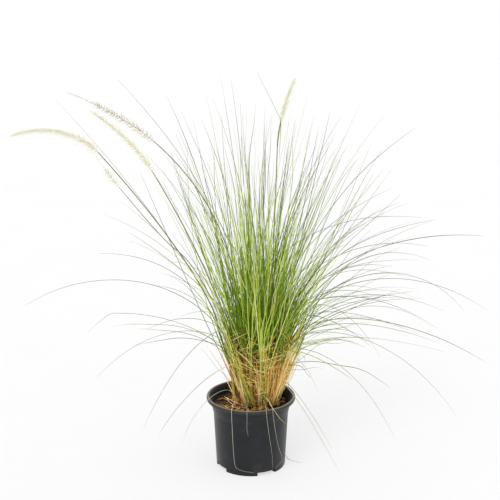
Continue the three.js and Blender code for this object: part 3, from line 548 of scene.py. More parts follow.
class Piece:
    """Collects closed strands for one mesh, each with its own strip of the map "strand" (along, across), and
    three values at each point: dry, from green to dead, pale, from fresh to grey, and tone, its shade."""

    def __init__(self, name):
        self.name = name
        self.points, self.faces, self.maps, self.strips = [], [], [], []
        self.values = {"dry": [], "tone": [], "pale": []}
        self.count, self.items = 0, 0

    def add_faces(self, corners, along, across):
        """Faces of one size: their corners, and where each corner lies on the strand's map."""
        self.faces += corners.reshape(-1, corners.shape[-1]).tolist()
        self.maps.append(np.stack([np.ravel(along), np.ravel(across)], 1))
        self.strips.append(np.full(along.size, self.items))

    def strand(self, rings, dry, tone, tip=None, pale=0.0):
        """rings is (rings, corners, 3), root first, corners in the same turning sense for all strands. With
        no tip the strand ends flat."""
        n, k, _ = rings.shape
        cell = self.count + np.arange(n * k).reshape(n, k)
        after = np.roll(cell, -1, 1)
        steps, corners = np.meshgrid(np.arange(n - 1), np.arange(k), indexing="ij")
        along = np.stack([steps, steps, steps + 1, steps + 1], 2) / n
        across = np.stack([corners, corners + 1, corners + 1, corners], 2) / k
        self.add_faces(np.stack([cell[:-1], after[:-1], after[1:], cell[1:]], 2), along, across)
        edge, last = np.arange(k), np.full(k, (n - 1) / n)
        self.add_faces(cell[0][::-1], np.zeros(k), edge[::-1] / k)
        points = rings.reshape(-1, 3)
        dry, pale = (np.repeat(np.broadcast_to(np.asarray(value, float), (n,)), k) for value in (dry, pale))
        if tip is None:
            self.add_faces(cell[-1], last, edge / k)
        else:
            triangles = np.stack([cell[-1], after[-1], np.full(k, self.count + n * k)], 1)
            across = np.stack([edge, edge + 1, edge + 0.5], 1) / k
            self.add_faces(triangles, np.stack([last, last, np.ones(k)], 1), across)
            points = np.vstack([points, tip])
            dry, pale = np.append(dry, dry[-1]), np.append(pale, pale[-1])
        self.points.append(points)
        for name, value in (("dry", dry), ("tone", np.full(len(points), tone)), ("pale", pale)):
            self.values[name].append(value)
        self.count += len(points)
        self.items += 1

    def finish(self, look, slot, *replaced):
        mesh = bpy.data.meshes.new(self.name)
        mesh.from_pydata((np.vstack(self.points) * MM).tolist(), [], self.faces)
        maps = np.vstack(self.maps)
        packed = packed_strips(maps, np.concatenate(self.strips), self.items)
        for name, layout in (("strand", maps), ("OFBake", packed)):
            mesh.uv_layers.new(name=name).uv.foreach_set("vector", layout.astype(np.float32).ravel())
        for name, values in self.values.items():
            layer = mesh.attributes.new(name, "FLOAT", "POINT")
            layer.data.foreach_set("value", np.concatenate(values).astype(np.float32))
        place_mesh(mesh, look, slot, *replaced)


def linked(name, data):
    """An object of the scene."""
    made = bpy.data.objects.new(name, data)
    bpy.context.scene.collection.objects.link(made)
    return made


def place_mesh(mesh, look, slot, *replaced, sharp=None):
    mesh.polygons.foreach_set("use_smooth", [True] * len(mesh.polygons))
    if sharp:
        mesh.set_sharp_from_angle(angle=math.radians(sharp))
    mesh.materials.append(look)
    mesh.update()
    piece = linked(mesh.name, mesh)
    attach(piece, "root")
    if replaced:
        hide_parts(*replaced)


# Materials


def put(value, socket):
    """Links a value to a socket, or sets the socket to a number or colour that is the same all over."""
    if isinstance(value, Value):
        socket.id_data.links.new(value.socket, socket)
    else:
        socket.default_value = (*value, 1) if isinstance(value, tuple) else value


class Value:
    """A number, colour or vector that varies over a surface. Arithmetic on it makes math nodes."""

    def __init__(self, socket):
        self.socket = socket

    def math(self, operation, other=0.0):
        made = self.socket.id_data.nodes.new("ShaderNodeMath")
        made.operation = operation
        put(self, made.inputs[0])
        put(other, made.inputs[1])
        return Value(made.outputs[0])

    def __add__(self, other):
        return self.math("ADD", other)

    def __sub__(self, other):
        return self.math("SUBTRACT", other)

    def __mul__(self, other):
        return self.math("MULTIPLY", other)

    def clamped(self):
        self.socket.node.use_clamp = True
        return self


class Look:
    """A material, and the nodes that it is made of."""

    def __init__(self, name):
        self.material = bpy.data.materials.new(name)
        self.material.use_nodes = True
        self.nodes = self.material.node_tree.nodes

    def shader(self, **inputs):
        """Sets the shader's inputs and returns the finished material."""
        for name, value in inputs.items():
            put(value, self.nodes["Principled BSDF"].inputs[name.replace("_", " ")])
        return self.material

    def node(self, kind, **inputs):
        made = self.nodes.new("ShaderNode" + kind)
        for name, value in inputs.items():
            put(value, made.inputs[name.replace("_", " ")])
        return made

    def ramp(self, factor, *stops):
        """A colour that changes with the factor. Each stop is its place, then its red, green and blue."""
        made = self.node("ValToRGB", Fac=factor)
        elements = made.color_ramp.elements
        while len(elements) < len(stops):
            elements.new(0.5)
        for element, (position, *colour) in zip(elements, stops):
            element.position = position
            element.color = (*colour, 1)
        return Value(made.outputs["Color"])

    def mix(self, factor, a, b, blend="MIX"):
        made = self.node("Mix")
        made.data_type, made.blend_type = "RGBA", blend
        for index, value in ((0, factor), (6, a), (7, b)):
            put(value, made.inputs[index])
        return Value(made.outputs[2])

    def ranged(self, value, low, high, low_result=0.0, high_result=1.0):
        ends = {"From_Min": low, "From_Max": high, "To_Min": low_result, "To_Max": high_result}
        return Value(self.node("MapRange", Value=value, **ends).outputs["Result"])

    def attribute(self, name):
        made = self.node("Attribute")
        made.attribute_name = name
        return Value(made.outputs["Fac"])

    def place(self):
        return Value(self.node("TexCoord").outputs["Object"])

    def split(self, vector):
        return [Value(part) for part in self.node("SeparateXYZ", Vector=vector).outputs]

    def grain(self, scale, detail=3.0, roughness=0.6):
        finish = {"Scale": scale, "Detail": detail, "Roughness": roughness}
        return Value(self.node("TexNoise", Vector=self.place(), **finish).outputs["Fac"])

    def bump(self, height, strength, distance):
        made = self.node("Bump", Strength=strength, Distance=distance, Height=height)
        return Value(made.outputs["Normal"])

    def veins(self, lines, strength):
        """Fine ridges along a strand."""
        where = self.node("UVMap")
        where.uv_map = "strand"
        _, across, _ = self.split(Value(where.outputs["UV"]))
        return self.bump((across * (2 * math.pi * lines)).math("SINE"), strength, 0.0001)


# The clump's core is painted darker, as shade among its leaves: how far left of the crown its middle lies,
# its radius at the soil and how that grows with the height, how soft and how ragged its edge is, how dark it
# is, and where it fades, in metres of height
SHADED_CORE_SHIFT = 4
SHADED_CORE_RADIUS = 43
SHADED_CORE_SLOPE = 0.25
SHADED_CORE_EDGE = 15
SHADED_CORE_RAGGED = 14
SHADED_CORE_DARKNESS = 0.9
SHADED_CORE_FADES = (0.27, 0.47)


def painted_clump_shade(look):
    """How deep a point lies in the clump's painted shade: 0 at the outside and high up, darkest in its
    middle.
    """
    x, y, z = look.split(look.place())
    x, y = x - (CROWN[0] - SHADED_CORE_SHIFT) * MM, y - CROWN[1] * MM
    ragged = (look.grain(45.0, 2.0) - 0.5) * (SHADED_CORE_RAGGED * MM)
    reach = (z - CROWN[2] * MM) * SHADED_CORE_SLOPE + SHADED_CORE_RADIUS * MM + ragged
    deep = look.ranged(reach - (x * x + y * y).math("SQRT"), 0.0, SHADED_CORE_EDGE * MM)
    return deep * look.ranged(z, *SHADED_CORE_FADES, SHADED_CORE_DARKNESS, 0.0)


def leaf_look():
    look = Look("grass_leaf")
    dry, tone, pale = look.attribute("dry"), look.attribute("tone"), look.attribute("pale")
    blotches, inside = look.grain(90.0), painted_clump_shade(look)
    green = look.ramp(
        tone,
        (0.0, 0.042, 0.115, 0.002),
        (0.35, 0.155, 0.285, 0.006),
        (0.7, 0.390, 0.560, 0.016),
        (1.0, 0.890, 0.960, 0.290),
    )
    grey = look.ramp(tone, (0.0, 0.105, 0.114, 0.078), (0.6, 0.195, 0.206, 0.155), (1.0, 0.430, 0.440, 0.380))
    straw = look.ramp(
        blotches * 0.55 + tone * 0.5,
        (0.2, 0.110, 0.040, 0.012),
        (0.30, 0.520, 0.230, 0.050),
        (0.43, 0.860, 0.470, 0.110),
        (0.62, 0.960, 0.670, 0.230),
        (0.85, 0.990, 0.870, 0.540),
    )
    ragged = (dry + (blotches - 0.5) * 0.5).clamped()
    # Painted shade: green and straw are multiplied darker in the clump's core near the soil.
    green = look.mix(inside, green, (0.36, 0.44, 0.12), "MULTIPLY")
    straw = look.mix(inside, straw, (0.30, 0.18, 0.09), "MULTIPLY")
    colour = look.mix(ragged, look.mix(pale, green, grey), straw)
    return look.shader(
        Base_Color=colour, Roughness=0.45, Specular_IOR_Level=0.1, Normal=look.veins(16, strength=0.25)
    )


def stem_look():
    look = Look("grass_stem")
    fresh = look.ramp(look.grain(60.0), (0.3, 0.120, 0.145, 0.060), (0.7, 0.205, 0.225, 0.110))
    brown = look.ramp(look.attribute("tone"), (0.0, 0.400, 0.220, 0.090), (1.0, 0.640, 0.470, 0.240))
    colour = look.mix(look.attribute("dry"), fresh, brown)
    return look.shader(
        Base_Color=colour, Roughness=0.4, Specular_IOR_Level=0.3, Normal=look.veins(14, strength=0.2)
    )


def plume_look(name, bristle, husk):
    """bristle and husk are each a darkest and a lightest colour."""
    look = Look(name)
    tone = look.attribute("tone")
    pale, brown = (look.ramp(tone, (0.0, *dark), (1.0, *light)) for dark, light in (bristle, husk))
    colour = look.mix(look.attribute("dry"), pale, brown)
    return look.shader(Base_Color=colour, Roughness=0.6, Specular_IOR_Level=0.3, Sheen_Weight=0.3)


# The rim's top is painted lighter over this depth: partly wear, partly a painted highlight for the reflection
# along the lip.
HIGHLIGHT_WEAR_DEPTH = 1.6  # below the pot's top
DUST_LINE = (6.5, 5.8)


def pot_look():
    look = Look("pot_plastic")
    broad = look.grain(14.0, 4.0)
    _, _, height = look.split(look.place())
    clean = look.ramp(broad, (0.3, 0.0060, 0.0066, 0.0080), (0.75, 0.0120, 0.0130, 0.0150))
    scuffed = look.ranged(look.grain(38.0, 6.0, 0.7), 0.52, 0.75)
    # Painted highlight, partly wear: the band at the rim's top is mixed towards a light grey-brown.
    edge = look.ranged(height, (POT_HEIGHT - HIGHLIGHT_WEAR_DEPTH) * MM, POT_HEIGHT * MM)
    dusty = look.ranged(height, *((POT_HEIGHT - depth) * MM for depth in DUST_LINE), 0.0, 0.6)
    dust = (dusty * (look.grain(45.0, 5.0) + 0.25)).clamped()
    highlight_and_wear = (edge * (look.grain(70.0, 4.0) + 0.35)).clamped()
    colour = look.mix(scuffed, clean, (0.022, 0.023, 0.024))
    colour = look.mix(dust, colour, (0.048, 0.044, 0.035))
    return look.shader(
        Base_Color=look.mix(highlight_and_wear, colour, (0.240, 0.215, 0.175)),
        Roughness=look.ranged(broad, 0.0, 1.0, 0.36, 0.52),
        Specular_IOR_Level=0.26,
        Sheen_Weight=0.16,
        Sheen_Roughness=0.35,
        Normal=look.bump(look.grain(900.0, 2.0), 0.12, 0.0002),
    )


def soil_look():
    look = Look("coir_soil")
    mottled = (look.grain(26.0, 2.0) - 0.55) * 1.1
    colour = look.ramp(
        look.grain(260.0, 4.0) * 0.5 + look.attribute("tone") * 0.45 + mottled,
        (0.3, 0.010, 0.005, 0.003),
        (0.5, 0.050, 0.024, 0.011),
        (0.66, 0.190, 0.092, 0.036),
        (0.88, 0.520, 0.330, 0.150),
    )
    rough = look.bump(look.grain(1200.0, 3.0), 0.6, 0.0006)
    return look.shader(Base_Color=colour, Roughness=0.95, Normal=rough)


def floor_look():
    look = Look("floor_paper")
    return look.shader(
        Base_Color=look.ramp(look.grain(3.0), (0.3, 0.250, 0.250, 0.252), (0.7, 0.260, 0.260, 0.262)),
        Roughness=0.9,
        Specular_IOR_Level=0.1,
        Emission_Color=(1, 1, 1),
        Emission_Strength=0.62,
    )


LEAF, STEM, PLASTIC, COIR = leaf_look(), stem_look(), pot_look(), soil_look()
CREAM = plume_look(
    "plume_cream",
    ((0.880, 0.860, 0.660), (0.975, 0.970, 0.880)),
    ((0.740, 0.690, 0.400), (0.890, 0.850, 0.600)),
)
YELLOW = plume_look(
    "plume_yellow",
    ((0.885, 0.880, 0.660), (0.975, 0.970, 0.850)),
    ((0.720, 0.710, 0.380), (0.880, 0.850, 0.540)),
)
ROSE = plume_look(
    "plume_rose",
    ((0.660, 0.600, 0.450), (0.920, 0.885, 0.770)),
    ((0.290, 0.250, 0.150), (0.700, 0.560, 0.380)),
)


# Sections, lofts and curves


def polygon(corners, first=0):
    angles = np.radians(first + 360 / corners * np.arange(corners))
    return np.stack([np.cos(angles), np.sin(angles)], 1)


ROUND = polygon(8, 180)
# A blade's section is a shallow trough with a rib below its middle. Each corner's place across is a share of
# the width, and its place downward is the sum of shares of the trough's depth, the thickness and the rib.
BLADE_SECTION = np.array([
    (-0.5, -1, 0, 0), (-0.25, -0.55, 0, 0), (0, 0, 0, 0), (0.25, -0.55, 0, 0),
    (0.5, -1, 0, 0), (0.27, -0.55, 1, 0), (0, 0, 1, 1), (-0.27, -0.55, 1, 0),
])  # fmt: skip
THIN_SECTION = np.array([
    (-0.5, -1, 0, 0), (0, 0, 0, 0), (0.5, -1, 0, 0), (0.25, -0.5, 1, 0), (0, 0, 1, 0), (-0.25, -0.5, 1, 0),
])  # fmt: skip


def sections(corners, widths, fold, thickness, rib=0.0):
    """The section at each ring. fold is the trough's depth as a share of the width."""
    fold, thickness, rib = (np.broadcast_to(value, len(widths))[:, None] for value in (fold, thickness, rib))
    wide = widths[:, None]
    across, depth, thick, ribbed = corners.T
    return np.stack([wide * across, fold * wide * depth + thickness * thick + rib * ribbed], 2)


def tube(corners, radii):
    return corners[None] * np.asarray(radii)[:, None, None]


def carried_frame(route, tangent):
    """Side vectors that follow a free curve without turning about it."""
    side = np.zeros(route.shape)
    side[0] = unit(np.cross(tangent[0], (0.05, 0.1, 1)))
    for k in range(1, len(route)):
        side[k] = unit(side[k - 1] - (side[k - 1] @ tangent[k]) * tangent[k])
    return side


def loft(route, azimuth, sections, twist=0.0):
    """Rings around a route that keeps one azimuth, or around a free curve where that is None. sections is
    (rings, corners, 2), twist the turn in degrees at each ring."""
    tangent = unit(np.gradient(route, axis=0))
    if azimuth is None:
        side = carried_frame(route, tangent)
    else:
        side = np.broadcast_to(level(azimuth + 90), route.shape)
    under = unit(np.cross(side, tangent))
    turn = np.radians(np.broadcast_to(twist, (len(route),)))[:, None]
    across, down = side * np.cos(turn) + under * np.sin(turn), under * np.cos(turn) - side * np.sin(turn)
    return route[:, None] + sections[..., :1] * across[:, None] + sections[..., 1:] * down[:, None]


def through(points, steps=6):
    """A smooth curve through the points."""
    p = np.array(points, float)
    p = np.vstack([2 * p[0] - p[1], p, 2 * p[-1] - p[-2]])
    out = []
    for a, b, c, d in zip(p, p[1:], p[2:], p[3:]):
        for t in np.arange(steps) / steps:
            bent = (c - a) * t + (2 * a - 5 * b + 4 * c - d) * t * t + (3 * b - a - 3 * c + d) * t**3
            out.append(0.5 * (2 * b + bent))
    return np.array(out + [p[-2]])


def wave(turns, share, seed, channel):
    return np.sin(2 * math.pi * (turns * share + noise(seed, channel)))


def waved(start, shape, amount, seed):
    """A blade's route with a slow sway off it, more towards the tip."""
    route = route_of(start, shape)
    share = np.linspace(0, 1, len(route))
    sway = wave(1.3, share, seed, WAVE) + 0.5 * wave(3.1, share, seed, TWIST)
    reach = amount * smooth(0.1, 1, share)
    lift = 0.5 * reach * wave(1.9, share, seed, THICK)
    return route + (reach * sway)[:, None] * level(shape["azimuth"] + 90) + lift[:, None] * (0, 0, 1)


def sample(route, shares):
    at = np.clip(np.asarray(shares), 0, 1) * (len(route) - 1)
    whole = np.minimum(at.astype(int), len(route) - 2)
    part = (at - whole)[:, None]
    return route[whole] * (1 - part) + route[whole + 1] * part


# Blades, sheaths and what lies loose among them

BLADE_SHARES = np.concatenate([[0.015, 0.04, 0.07], np.linspace(0.1, 0.98, 26)])
FINE_SHARES = np.linspace(0, 0.97, 17)
SHEATH_SHARES = np.array([0, 0.12, 0.3, 0.5, 0.7, 0.88, 0.985])
SIDE_BLADE_WIDTH = 2.1
FINE_WIDTHS = (1.2, 2.0)
FINE_FOOT_WIDTH = 0.8
SIDE_SWAY = 3.4
FINE_SWAY = 6
GREEN_SHARE = 0.2  # of the shoots
SOUND_TIPS = 0.6
GREYS_ALONG = (330, 560)
GREYS_OUTWARD = (105, 220)
HANGS_FROM = 130
SIDE_GREENER = 15
# Kind of shoot: width of its blade, share of the sheath's radius, sway
KINDS = {"long": (2.3, 1, 0.8), "tiller": (2.1, 1, 3.4), "dry": (1.4, 0.4, 1.2), "slim": (1.8, 0.5, 0.5)}


def turned(reach, heights, angles, middle=(0, 0)):
    """Points around an upright line through the middle."""
    reach, heights, angles = np.broadcast_arrays(reach, heights, angles)
    return np.stack([middle[0] + reach * np.cos(angles), middle[1] + reach * np.sin(angles), heights], -1)


def from_crown(points):
    """How far points lie from the clump's middle, on the level."""
    return np.linalg.norm((points - CROWN)[..., :2], axis=-1)


def blade_widths(shares, width):
    return width * (1 - 0.55 * shares**1.4) * np.minimum(1, (1.02 - shares) / 0.28) ** 0.6


def blade_sections(shares, width, seed, foot=1.0):
    fold = 0.26 + 0.12 * (1 - smooth(0, 0.25, shares)) + 0.12 * noise(seed, THICK)
    widths = blade_widths(shares, width) * between(foot, 1, smooth(0, 0.08, shares))
    return sections(BLADE_SECTION, widths, fold, 0.34 - 0.16 * shares, 0.2 * (1 - shares))


def dryness_from_root(distance, seed):
    """Some shoots are green almost from the soil, the others straw for a hand's width above it."""
    drawn_share = noise(seed, DRY_START)
    if drawn_share < GREEN_SHARE:
        return 0.65 * (1 - smooth(10, varied((110, 190), seed, DRY_TIP), distance))
    start = between(65, 140, (drawn_share - GREEN_SHARE) / (1 - GREEN_SHARE))
    return 1 - smooth(start, start + varied((15, 60), seed, DRY_TIP), distance)


def dry_tip(shares, seed):
    if noise(seed, DRY_TIP) < SOUND_TIPS:
        return np.zeros(len(shares))
    return varied((0.2, 0.8), seed, DRY_START) * smooth(0.8, 1.0, shares)


def paleness(distance, rings, seed, least=0.35):
    """Blades turn grey far from the root and outside the clump."""
    outward = smooth(*GREYS_OUTWARD, from_crown(rings.mean(1)))
    return varied((least, 1), seed, THICK) * np.maximum(smooth(*GREYS_ALONG, distance), outward)


def add_tiller(piece, kind, sheath, shape, seed):
    """A sheath and the blade that goes on from it."""
    width, thickness, sway = KINDS[kind]
    root, top = sheath["root"], up_sheath(sheath)
    route = waved(top, shape, sway, seed)
    stalk = root + (top - root) * SHEATH_SHARES[:, None]
    radii = between(SHEATH_RADIUS, SHEATH_TOP_RADIUS, SHEATH_SHARES) * thickness
    opens = smooth(0, 0.06, BLADE_SHARES)[:, None, None]
    blade = blade_sections(BLADE_SHARES, width * varied((0.85, 1.08), seed, THICK), seed)
    outline = np.concatenate([tube(ROUND, radii), ROUND * radii[-1] * (1 - opens) + blade * opens])
    twist = varied((-70, 70), seed, TWIST) * smooth(0.1, 1, BLADE_SHARES)
    points = np.vstack([stalk, sample(route, BLADE_SHARES)])
    rings = loft(points, shape["azimuth"], outline, np.append(np.zeros(len(stalk)), twist))
    distance = np.append(SHEATH_SHARES * sheath["length"], sheath["length"] + BLADE_SHARES * shape["length"])
    if kind == "dry":
        dry, pale = 0.12, 1.0
    else:
        dry = dryness_from_root(distance, seed)
        pale = paleness(distance, rings, seed, 0.35 if kind == "tiller" else 0.8)
        dry[len(stalk) :] = np.maximum(dry[len(stalk) :], dry_tip(BLADE_SHARES, seed))
    hangs = shape["fall"] > HANGS_FROM
    if hangs:
        pale = np.maximum(pale, 0.9)
    piece.strand(rings, dry, 0.85 if hangs or kind == "dry" else noise(seed, TONE), route[-1], pale)


def add_blade(piece, route, shape, shares, outline, twist, tone, seed):
    """A blade that leaves a sheath above the soil, with the colours of its distance from the root. It turns
    by up to twist, in degrees."""
    twists = varied((-twist, twist), seed, TWIST) * smooth(0.1, 1, shares)
    rings = loft(sample(route, shares), shape["azimuth"], outline, twists)
    distance = route[0, 2] - CROWN[2] + shares * shape["length"]
    dry = np.maximum(dry_tip(shares, seed), dryness_from_root(distance + SIDE_GREENER, seed))
    piece.strand(rings, dry, tone, route[-1], paleness(distance, rings, seed))


def add_side_blade(piece, start, shape, seed):
    shares = np.append(0, BLADE_SHARES)
    width = SIDE_BLADE_WIDTH * varied((0.8, 1.05), seed, THICK)
    outline = blade_sections(shares, width, seed, SIDE_FOOT_WIDTH / BLADE_WIDTH)
    route = waved(start, shape, SIDE_SWAY, seed)
    add_blade(piece, route, shape, shares, outline, 80, noise(seed, TONE), seed)


def add_fine_blade(piece, start, shape, seed):
    """One of the many thin blades between the others."""
    widths = blade_widths(FINE_SHARES, varied(FINE_WIDTHS, seed, THICK))
    widths[0] = FINE_FOOT_WIDTH
    outline = sections(THIN_SECTION, widths, 0.35, 0.3)
    route = waved(start, shape, FINE_SWAY, seed)
    add_blade(piece, route, shape, FINE_SHARES, outline, 110, noise(seed, TONE) ** 0.6, seed)


def add_stub(piece, shape, seed):
    foot, knee, tip = shape["points"]
    lower, upper = np.linspace(0, 1, 5), np.linspace(0.2, 0.94, 5)
    route = np.vstack([between(foot, knee, lower[:, None]), between(knee, tip, upper[:, None])])
    shares = np.append(between(0, STUB_KNEE, lower), between(STUB_KNEE, 1, upper))
    rounded_part = tube(ROUND * (1, 0.75), 0.5 * STUB_WIDTH * (1 - 0.3 * shares))
    leafy = sections(BLADE_SECTION, STUB_WIDTH * (1.05 - 0.75 * shares), 0.3, 0.4, 0.1)
    opens = smooth(0.35, 0.7, shares)[:, None, None]
    outline = rounded_part * (1 - opens) + leafy * opens
    rings = loft(route, shape["azimuth"], outline, varied((-50, 50), seed, TWIST) * shares)
    piece.strand(rings, 1.0, noise(seed, TONE), tip)


def add_crown(piece, place):
    """The knotted foot of a tuft, mostly under the soil."""
    middle = clump_place(place)
    heights = np.array([CROWN_LUMP_FOOT, 118, 128, 136, 140, 144, CROWN_LUMP_TOP])[:, None]
    radii = np.array([0.8, 1.0, 1.0, 0.98, 0.88, 0.7, 0.45])[:, None] * CROWN_LUMP_RADIUS
    angles = np.radians(30 * np.arange(12))
    bumps = 1 - 0.12 * (0.5 + 0.5 * np.sin(3 * angles + heights * 0.5 + place))
    rings = turned(radii * bumps, heights, angles, middle)
    piece.strand(rings[:, ::-1], 1.0, 0.15, (*middle[:2], CROWN_LUMP_TOP + 0.5))


def add_curl(piece, route, width, dry, tone, pale, twist):
    """A thin leaf or scrap of one along any curve."""
    shares = np.linspace(0, 1, len(route))
    widths = width * np.minimum(1, (shares + 0.12) / 0.3) * (1 - 0.8 * shares**1.6)
    rings = loft(route, None, sections(THIN_SECTION, widths, 0.28, 0.22), twist * shares)
    piece.strand(rings[:-1], dry, tone, route[-1], pale)


def drawn(draw, **ranges):
    """A value out of each range, drawn in the order they are named."""
    return SimpleNamespace(**{name: draw.uniform(*limits) for name, limits in ranges.items()})


def add_drawn_curl(piece, route, draw, pale=0.0, **ranges):
    """A curl whose width, dryness, tone and twist are drawn, in this order."""
    curl = drawn(draw, **ranges)
    add_curl(piece, route, curl.width, curl.dry, curl.tone, pale, curl.twist)


# The clump's left side is trim: where its edge is, and how that moves out with the height
LEFT_EDGE = -25
LEFT_EDGE_SLOPE = 0.2
LEFT_EDGE_Z = 150
POT_ROOM = 2  # kept free around the pot
KINK_BOWS = (-14, 30)
KINK_STEPS = 5
STEEPEST = 172


def free_of_pot(points):
    """Whether a curve keeps out of the soil and the pot."""
    radius, z = np.hypot(points[:, 0], points[:, 1]), points[:, 2]
    inside = (radius < COLLAR_RADIUS - WALL - 2.5) & (z > SOIL_TOP + SOIL_MOUND)
    outside = (radius > RIM_RADIUS + POT_ROOM) & (z > LOWEST_TIP)
    return bool((inside | (z > POT_HEIGHT + POT_ROOM) | outside).all())


def inside_left_edge(points):
    """Whether a curve keeps behind the clump's trim left side."""
    x, z = points[:, 0], points[:, 2]
    return bool((x > LEFT_EDGE - LEFT_EDGE_SLOPE * np.maximum(0, z - LEFT_EDGE_Z)).all())


def kinked(draw, start, azimuth, slopes, lengths, kink):
    """A curve of two gently bowed stretches with a kink between them."""
    points = [start]
    for slope, length, turn in zip(slopes, lengths, (0, kink)):
        azimuth += turn
        bow = draw.uniform(*KINK_BOWS)
        for k in range(KINK_STEPS):
            aim = direction(azimuth, min(slope + bow * k / (KINK_STEPS - 1), STEEPEST))
            points.append(points[-1] + aim * length / KINK_STEPS)
    return np.array(points)


STRAW_SHOOTS = 11
STRAW_LEAVES = 15
STRAW_REACH = 40
STRAW_REACH_SLOPE = 0.25


def add_straw(piece, place, draw):
    """What the clump sheds at its foot: split dead shoots, and thin dead leaves that cross the live ones."""
    middle = clump_place(place)
    x, y, _ = middle - CROWN
    out, away = math.hypot(x, y) / CROWN_RADIUS, math.degrees(math.atan2(y, x))
    for _ in range(STRAW_SHOOTS):
        shoot = drawn(
            draw, heading=(0, 360), off=(0.5, 7.5), turn=(-75, 75), lean=(-3, 6), length=(45, 165),
            bend=(0, 12), kink=(-20, 20),
        )  # fmt: skip
        foot = middle + level(shoot.heading, shoot.off) - (0, 0, 4)
        azimuth = away + shoot.turn
        right = smooth(-0.9, 0.3, math.cos(math.radians(azimuth)))
        lean = between(1, 15, out) * between(0.2, 1, right) + shoot.lean
        lengths = 0.6 * shoot.length, 0.4 * shoot.length
        points = kinked(draw, foot, azimuth, (lean, lean + shoot.bend), lengths, shoot.kink)
        if free_of_pot(points[3:]) and inside_left_edge(points):
            finish = {"width": (1.8, 3.4), "dry": (0.7, 1), "tone": (0.1, 1), "twist": (-60, 60)}
            add_drawn_curl(piece, points, draw, **finish)
    for _ in range(STRAW_LEAVES):
        leaf = drawn(
            draw, height=(4, 120), turn=(-100, 100), heading=(0, 360), slope=(5, 95), next_slope=(20, 150),
            length=(18, 75), next_length=(15, 85), kink=(-90, 90),
        )  # fmt: skip
        foot = middle + direction(away, between(2, 14, out)) * leaf.height + level(leaf.heading, 5)
        slopes, lengths = (leaf.slope, leaf.next_slope), (leaf.length, leaf.next_length)
        points = kinked(draw, foot, away + leaf.turn, slopes, lengths, leaf.kink)
        near = from_crown(points).max() < STRAW_REACH + STRAW_REACH_SLOPE * points[:, 2].max()
        if free_of_pot(points) and inside_left_edge(points) and near:
            finish = {"width": (0.8, 1.7), "dry": (0.45, 1), "tone": (0.45, 1), "twist": (-200, 200)}
            add_drawn_curl(piece, points, draw, 0.4, **finish)


CROSSING = 300
CROSSING_STEPS = 10
CROSSING_TOP = 205


def crossing_leaf(draw):
    """A thin dead leaf that lies slantwise round the outside of the clump, or None if it finds no room."""
    leaf = drawn(
        draw, azimuth=(0, 360), height=(4, 165), length=(28, 115), climb=(8, 78), turn=(-0.45, 0.35),
        off=(-2, 7), flare=(0, 6),
    )  # fmt: skip
    x, y, _ = level(leaf.azimuth)
    front, back, left = max(0, -y), max(0, y), max(0, -x)
    share, step = np.linspace(0, 1, CROSSING_STEPS), leaf.length / CROSSING_STEPS
    climb = math.radians(leaf.climb) + leaf.turn * share
    height = leaf.height + np.cumsum(np.sin(climb)) * step
    radius = CROWN_RADIUS + leaf.off + 5 * front - 7 * left + (0.13 + 0.27 * front + 0.1 * back) * height
    radius = radius + leaf.flare * share**2
    angle = math.radians(leaf.azimuth) + draw.choice((-1, 1)) * np.cumsum(np.cos(climb)) * step / radius
    points = turned(radius, CROWN[2] + height, angle, CROWN)
    fits = free_of_pot(points) and inside_left_edge(points) and height.max() < CROSSING_TOP
    return points if fits else None


def add_bundle(draw, count, spread, dry, tone, points):
    """Shoots that stand together, each a little beside the line through the points."""
    line = np.array(points, float)
    share = np.linspace(0, 1, len(line))[:, None]
    for _ in range(count):
        beside = draw.normal(0, 1, 3) * between(*spread, share) * (0.8, 0.5, 0)
        route = through(line + beside + draw.normal(0, 1.6, line.shape), 4)
        route = route[: int(len(route) * draw.uniform(0.5, 1))]
        add_drawn_curl(tuft_at(route[0]), route, draw, width=(1.2, 2.4), dry=dry, tone=tone, twist=(-60, 60))


# Tufts

FINE_BLADES = 12
LEFT_SIDE = -0.35  # the cosine of a heading, below which a blade points to the left
RIGHT_SIDE = 0.6
UPRIGHT = 60
# Thin arching blades: how many, then the ranges of azimuth and length
ARCHING = ((20, (-38, 45), (400, 560)), (14, (60, 150), (330, 430)), (1, (150, 215), (330, 480)))
# Dead leaves that hang over the rim in place of the listed ones of these numbers: their tone and points
HANGING = {
    3: (1.0, [
        (-20, -15, 143), (-27, -45, 160), (-34, -74, 169), (-39, -89, 163), (-40, -91, 150),
        (-39, -90, 118), (-37, -84, 67), (-35, -81, 40), (-33, -80, 27), (-29, -79.5, 21), (-22, -79, 17),
        (-9, -78, 13), (9, -78, 11),
    ]),
    4: (0.85, [
        (-6, -22, 143), (-7, -55, 160), (-8, -85, 167), (-8, -97, 161), (-8, -98, 139), (-8, -96, 116),
        (-5, -95, 100),
    ]),
    5: (0.9, [
        (24, -18, 143), (26, -50, 162), (28, -80, 169), (31, -91, 162), (33, -91, 139), (38, -87, 99),
        (44, -82, 57), (46, -78, 18),
    ]),
    6: (0.8, [
        (30, -12, 143), (35, -45, 162), (40, -76, 168), (44, -87, 161), (50, -86, 115), (57, -81, 75),
        (64, -75, 50), (66, -72, 41), (64, -71, 33), (50, -72, 17),
    ]),
}  # fmt: skip
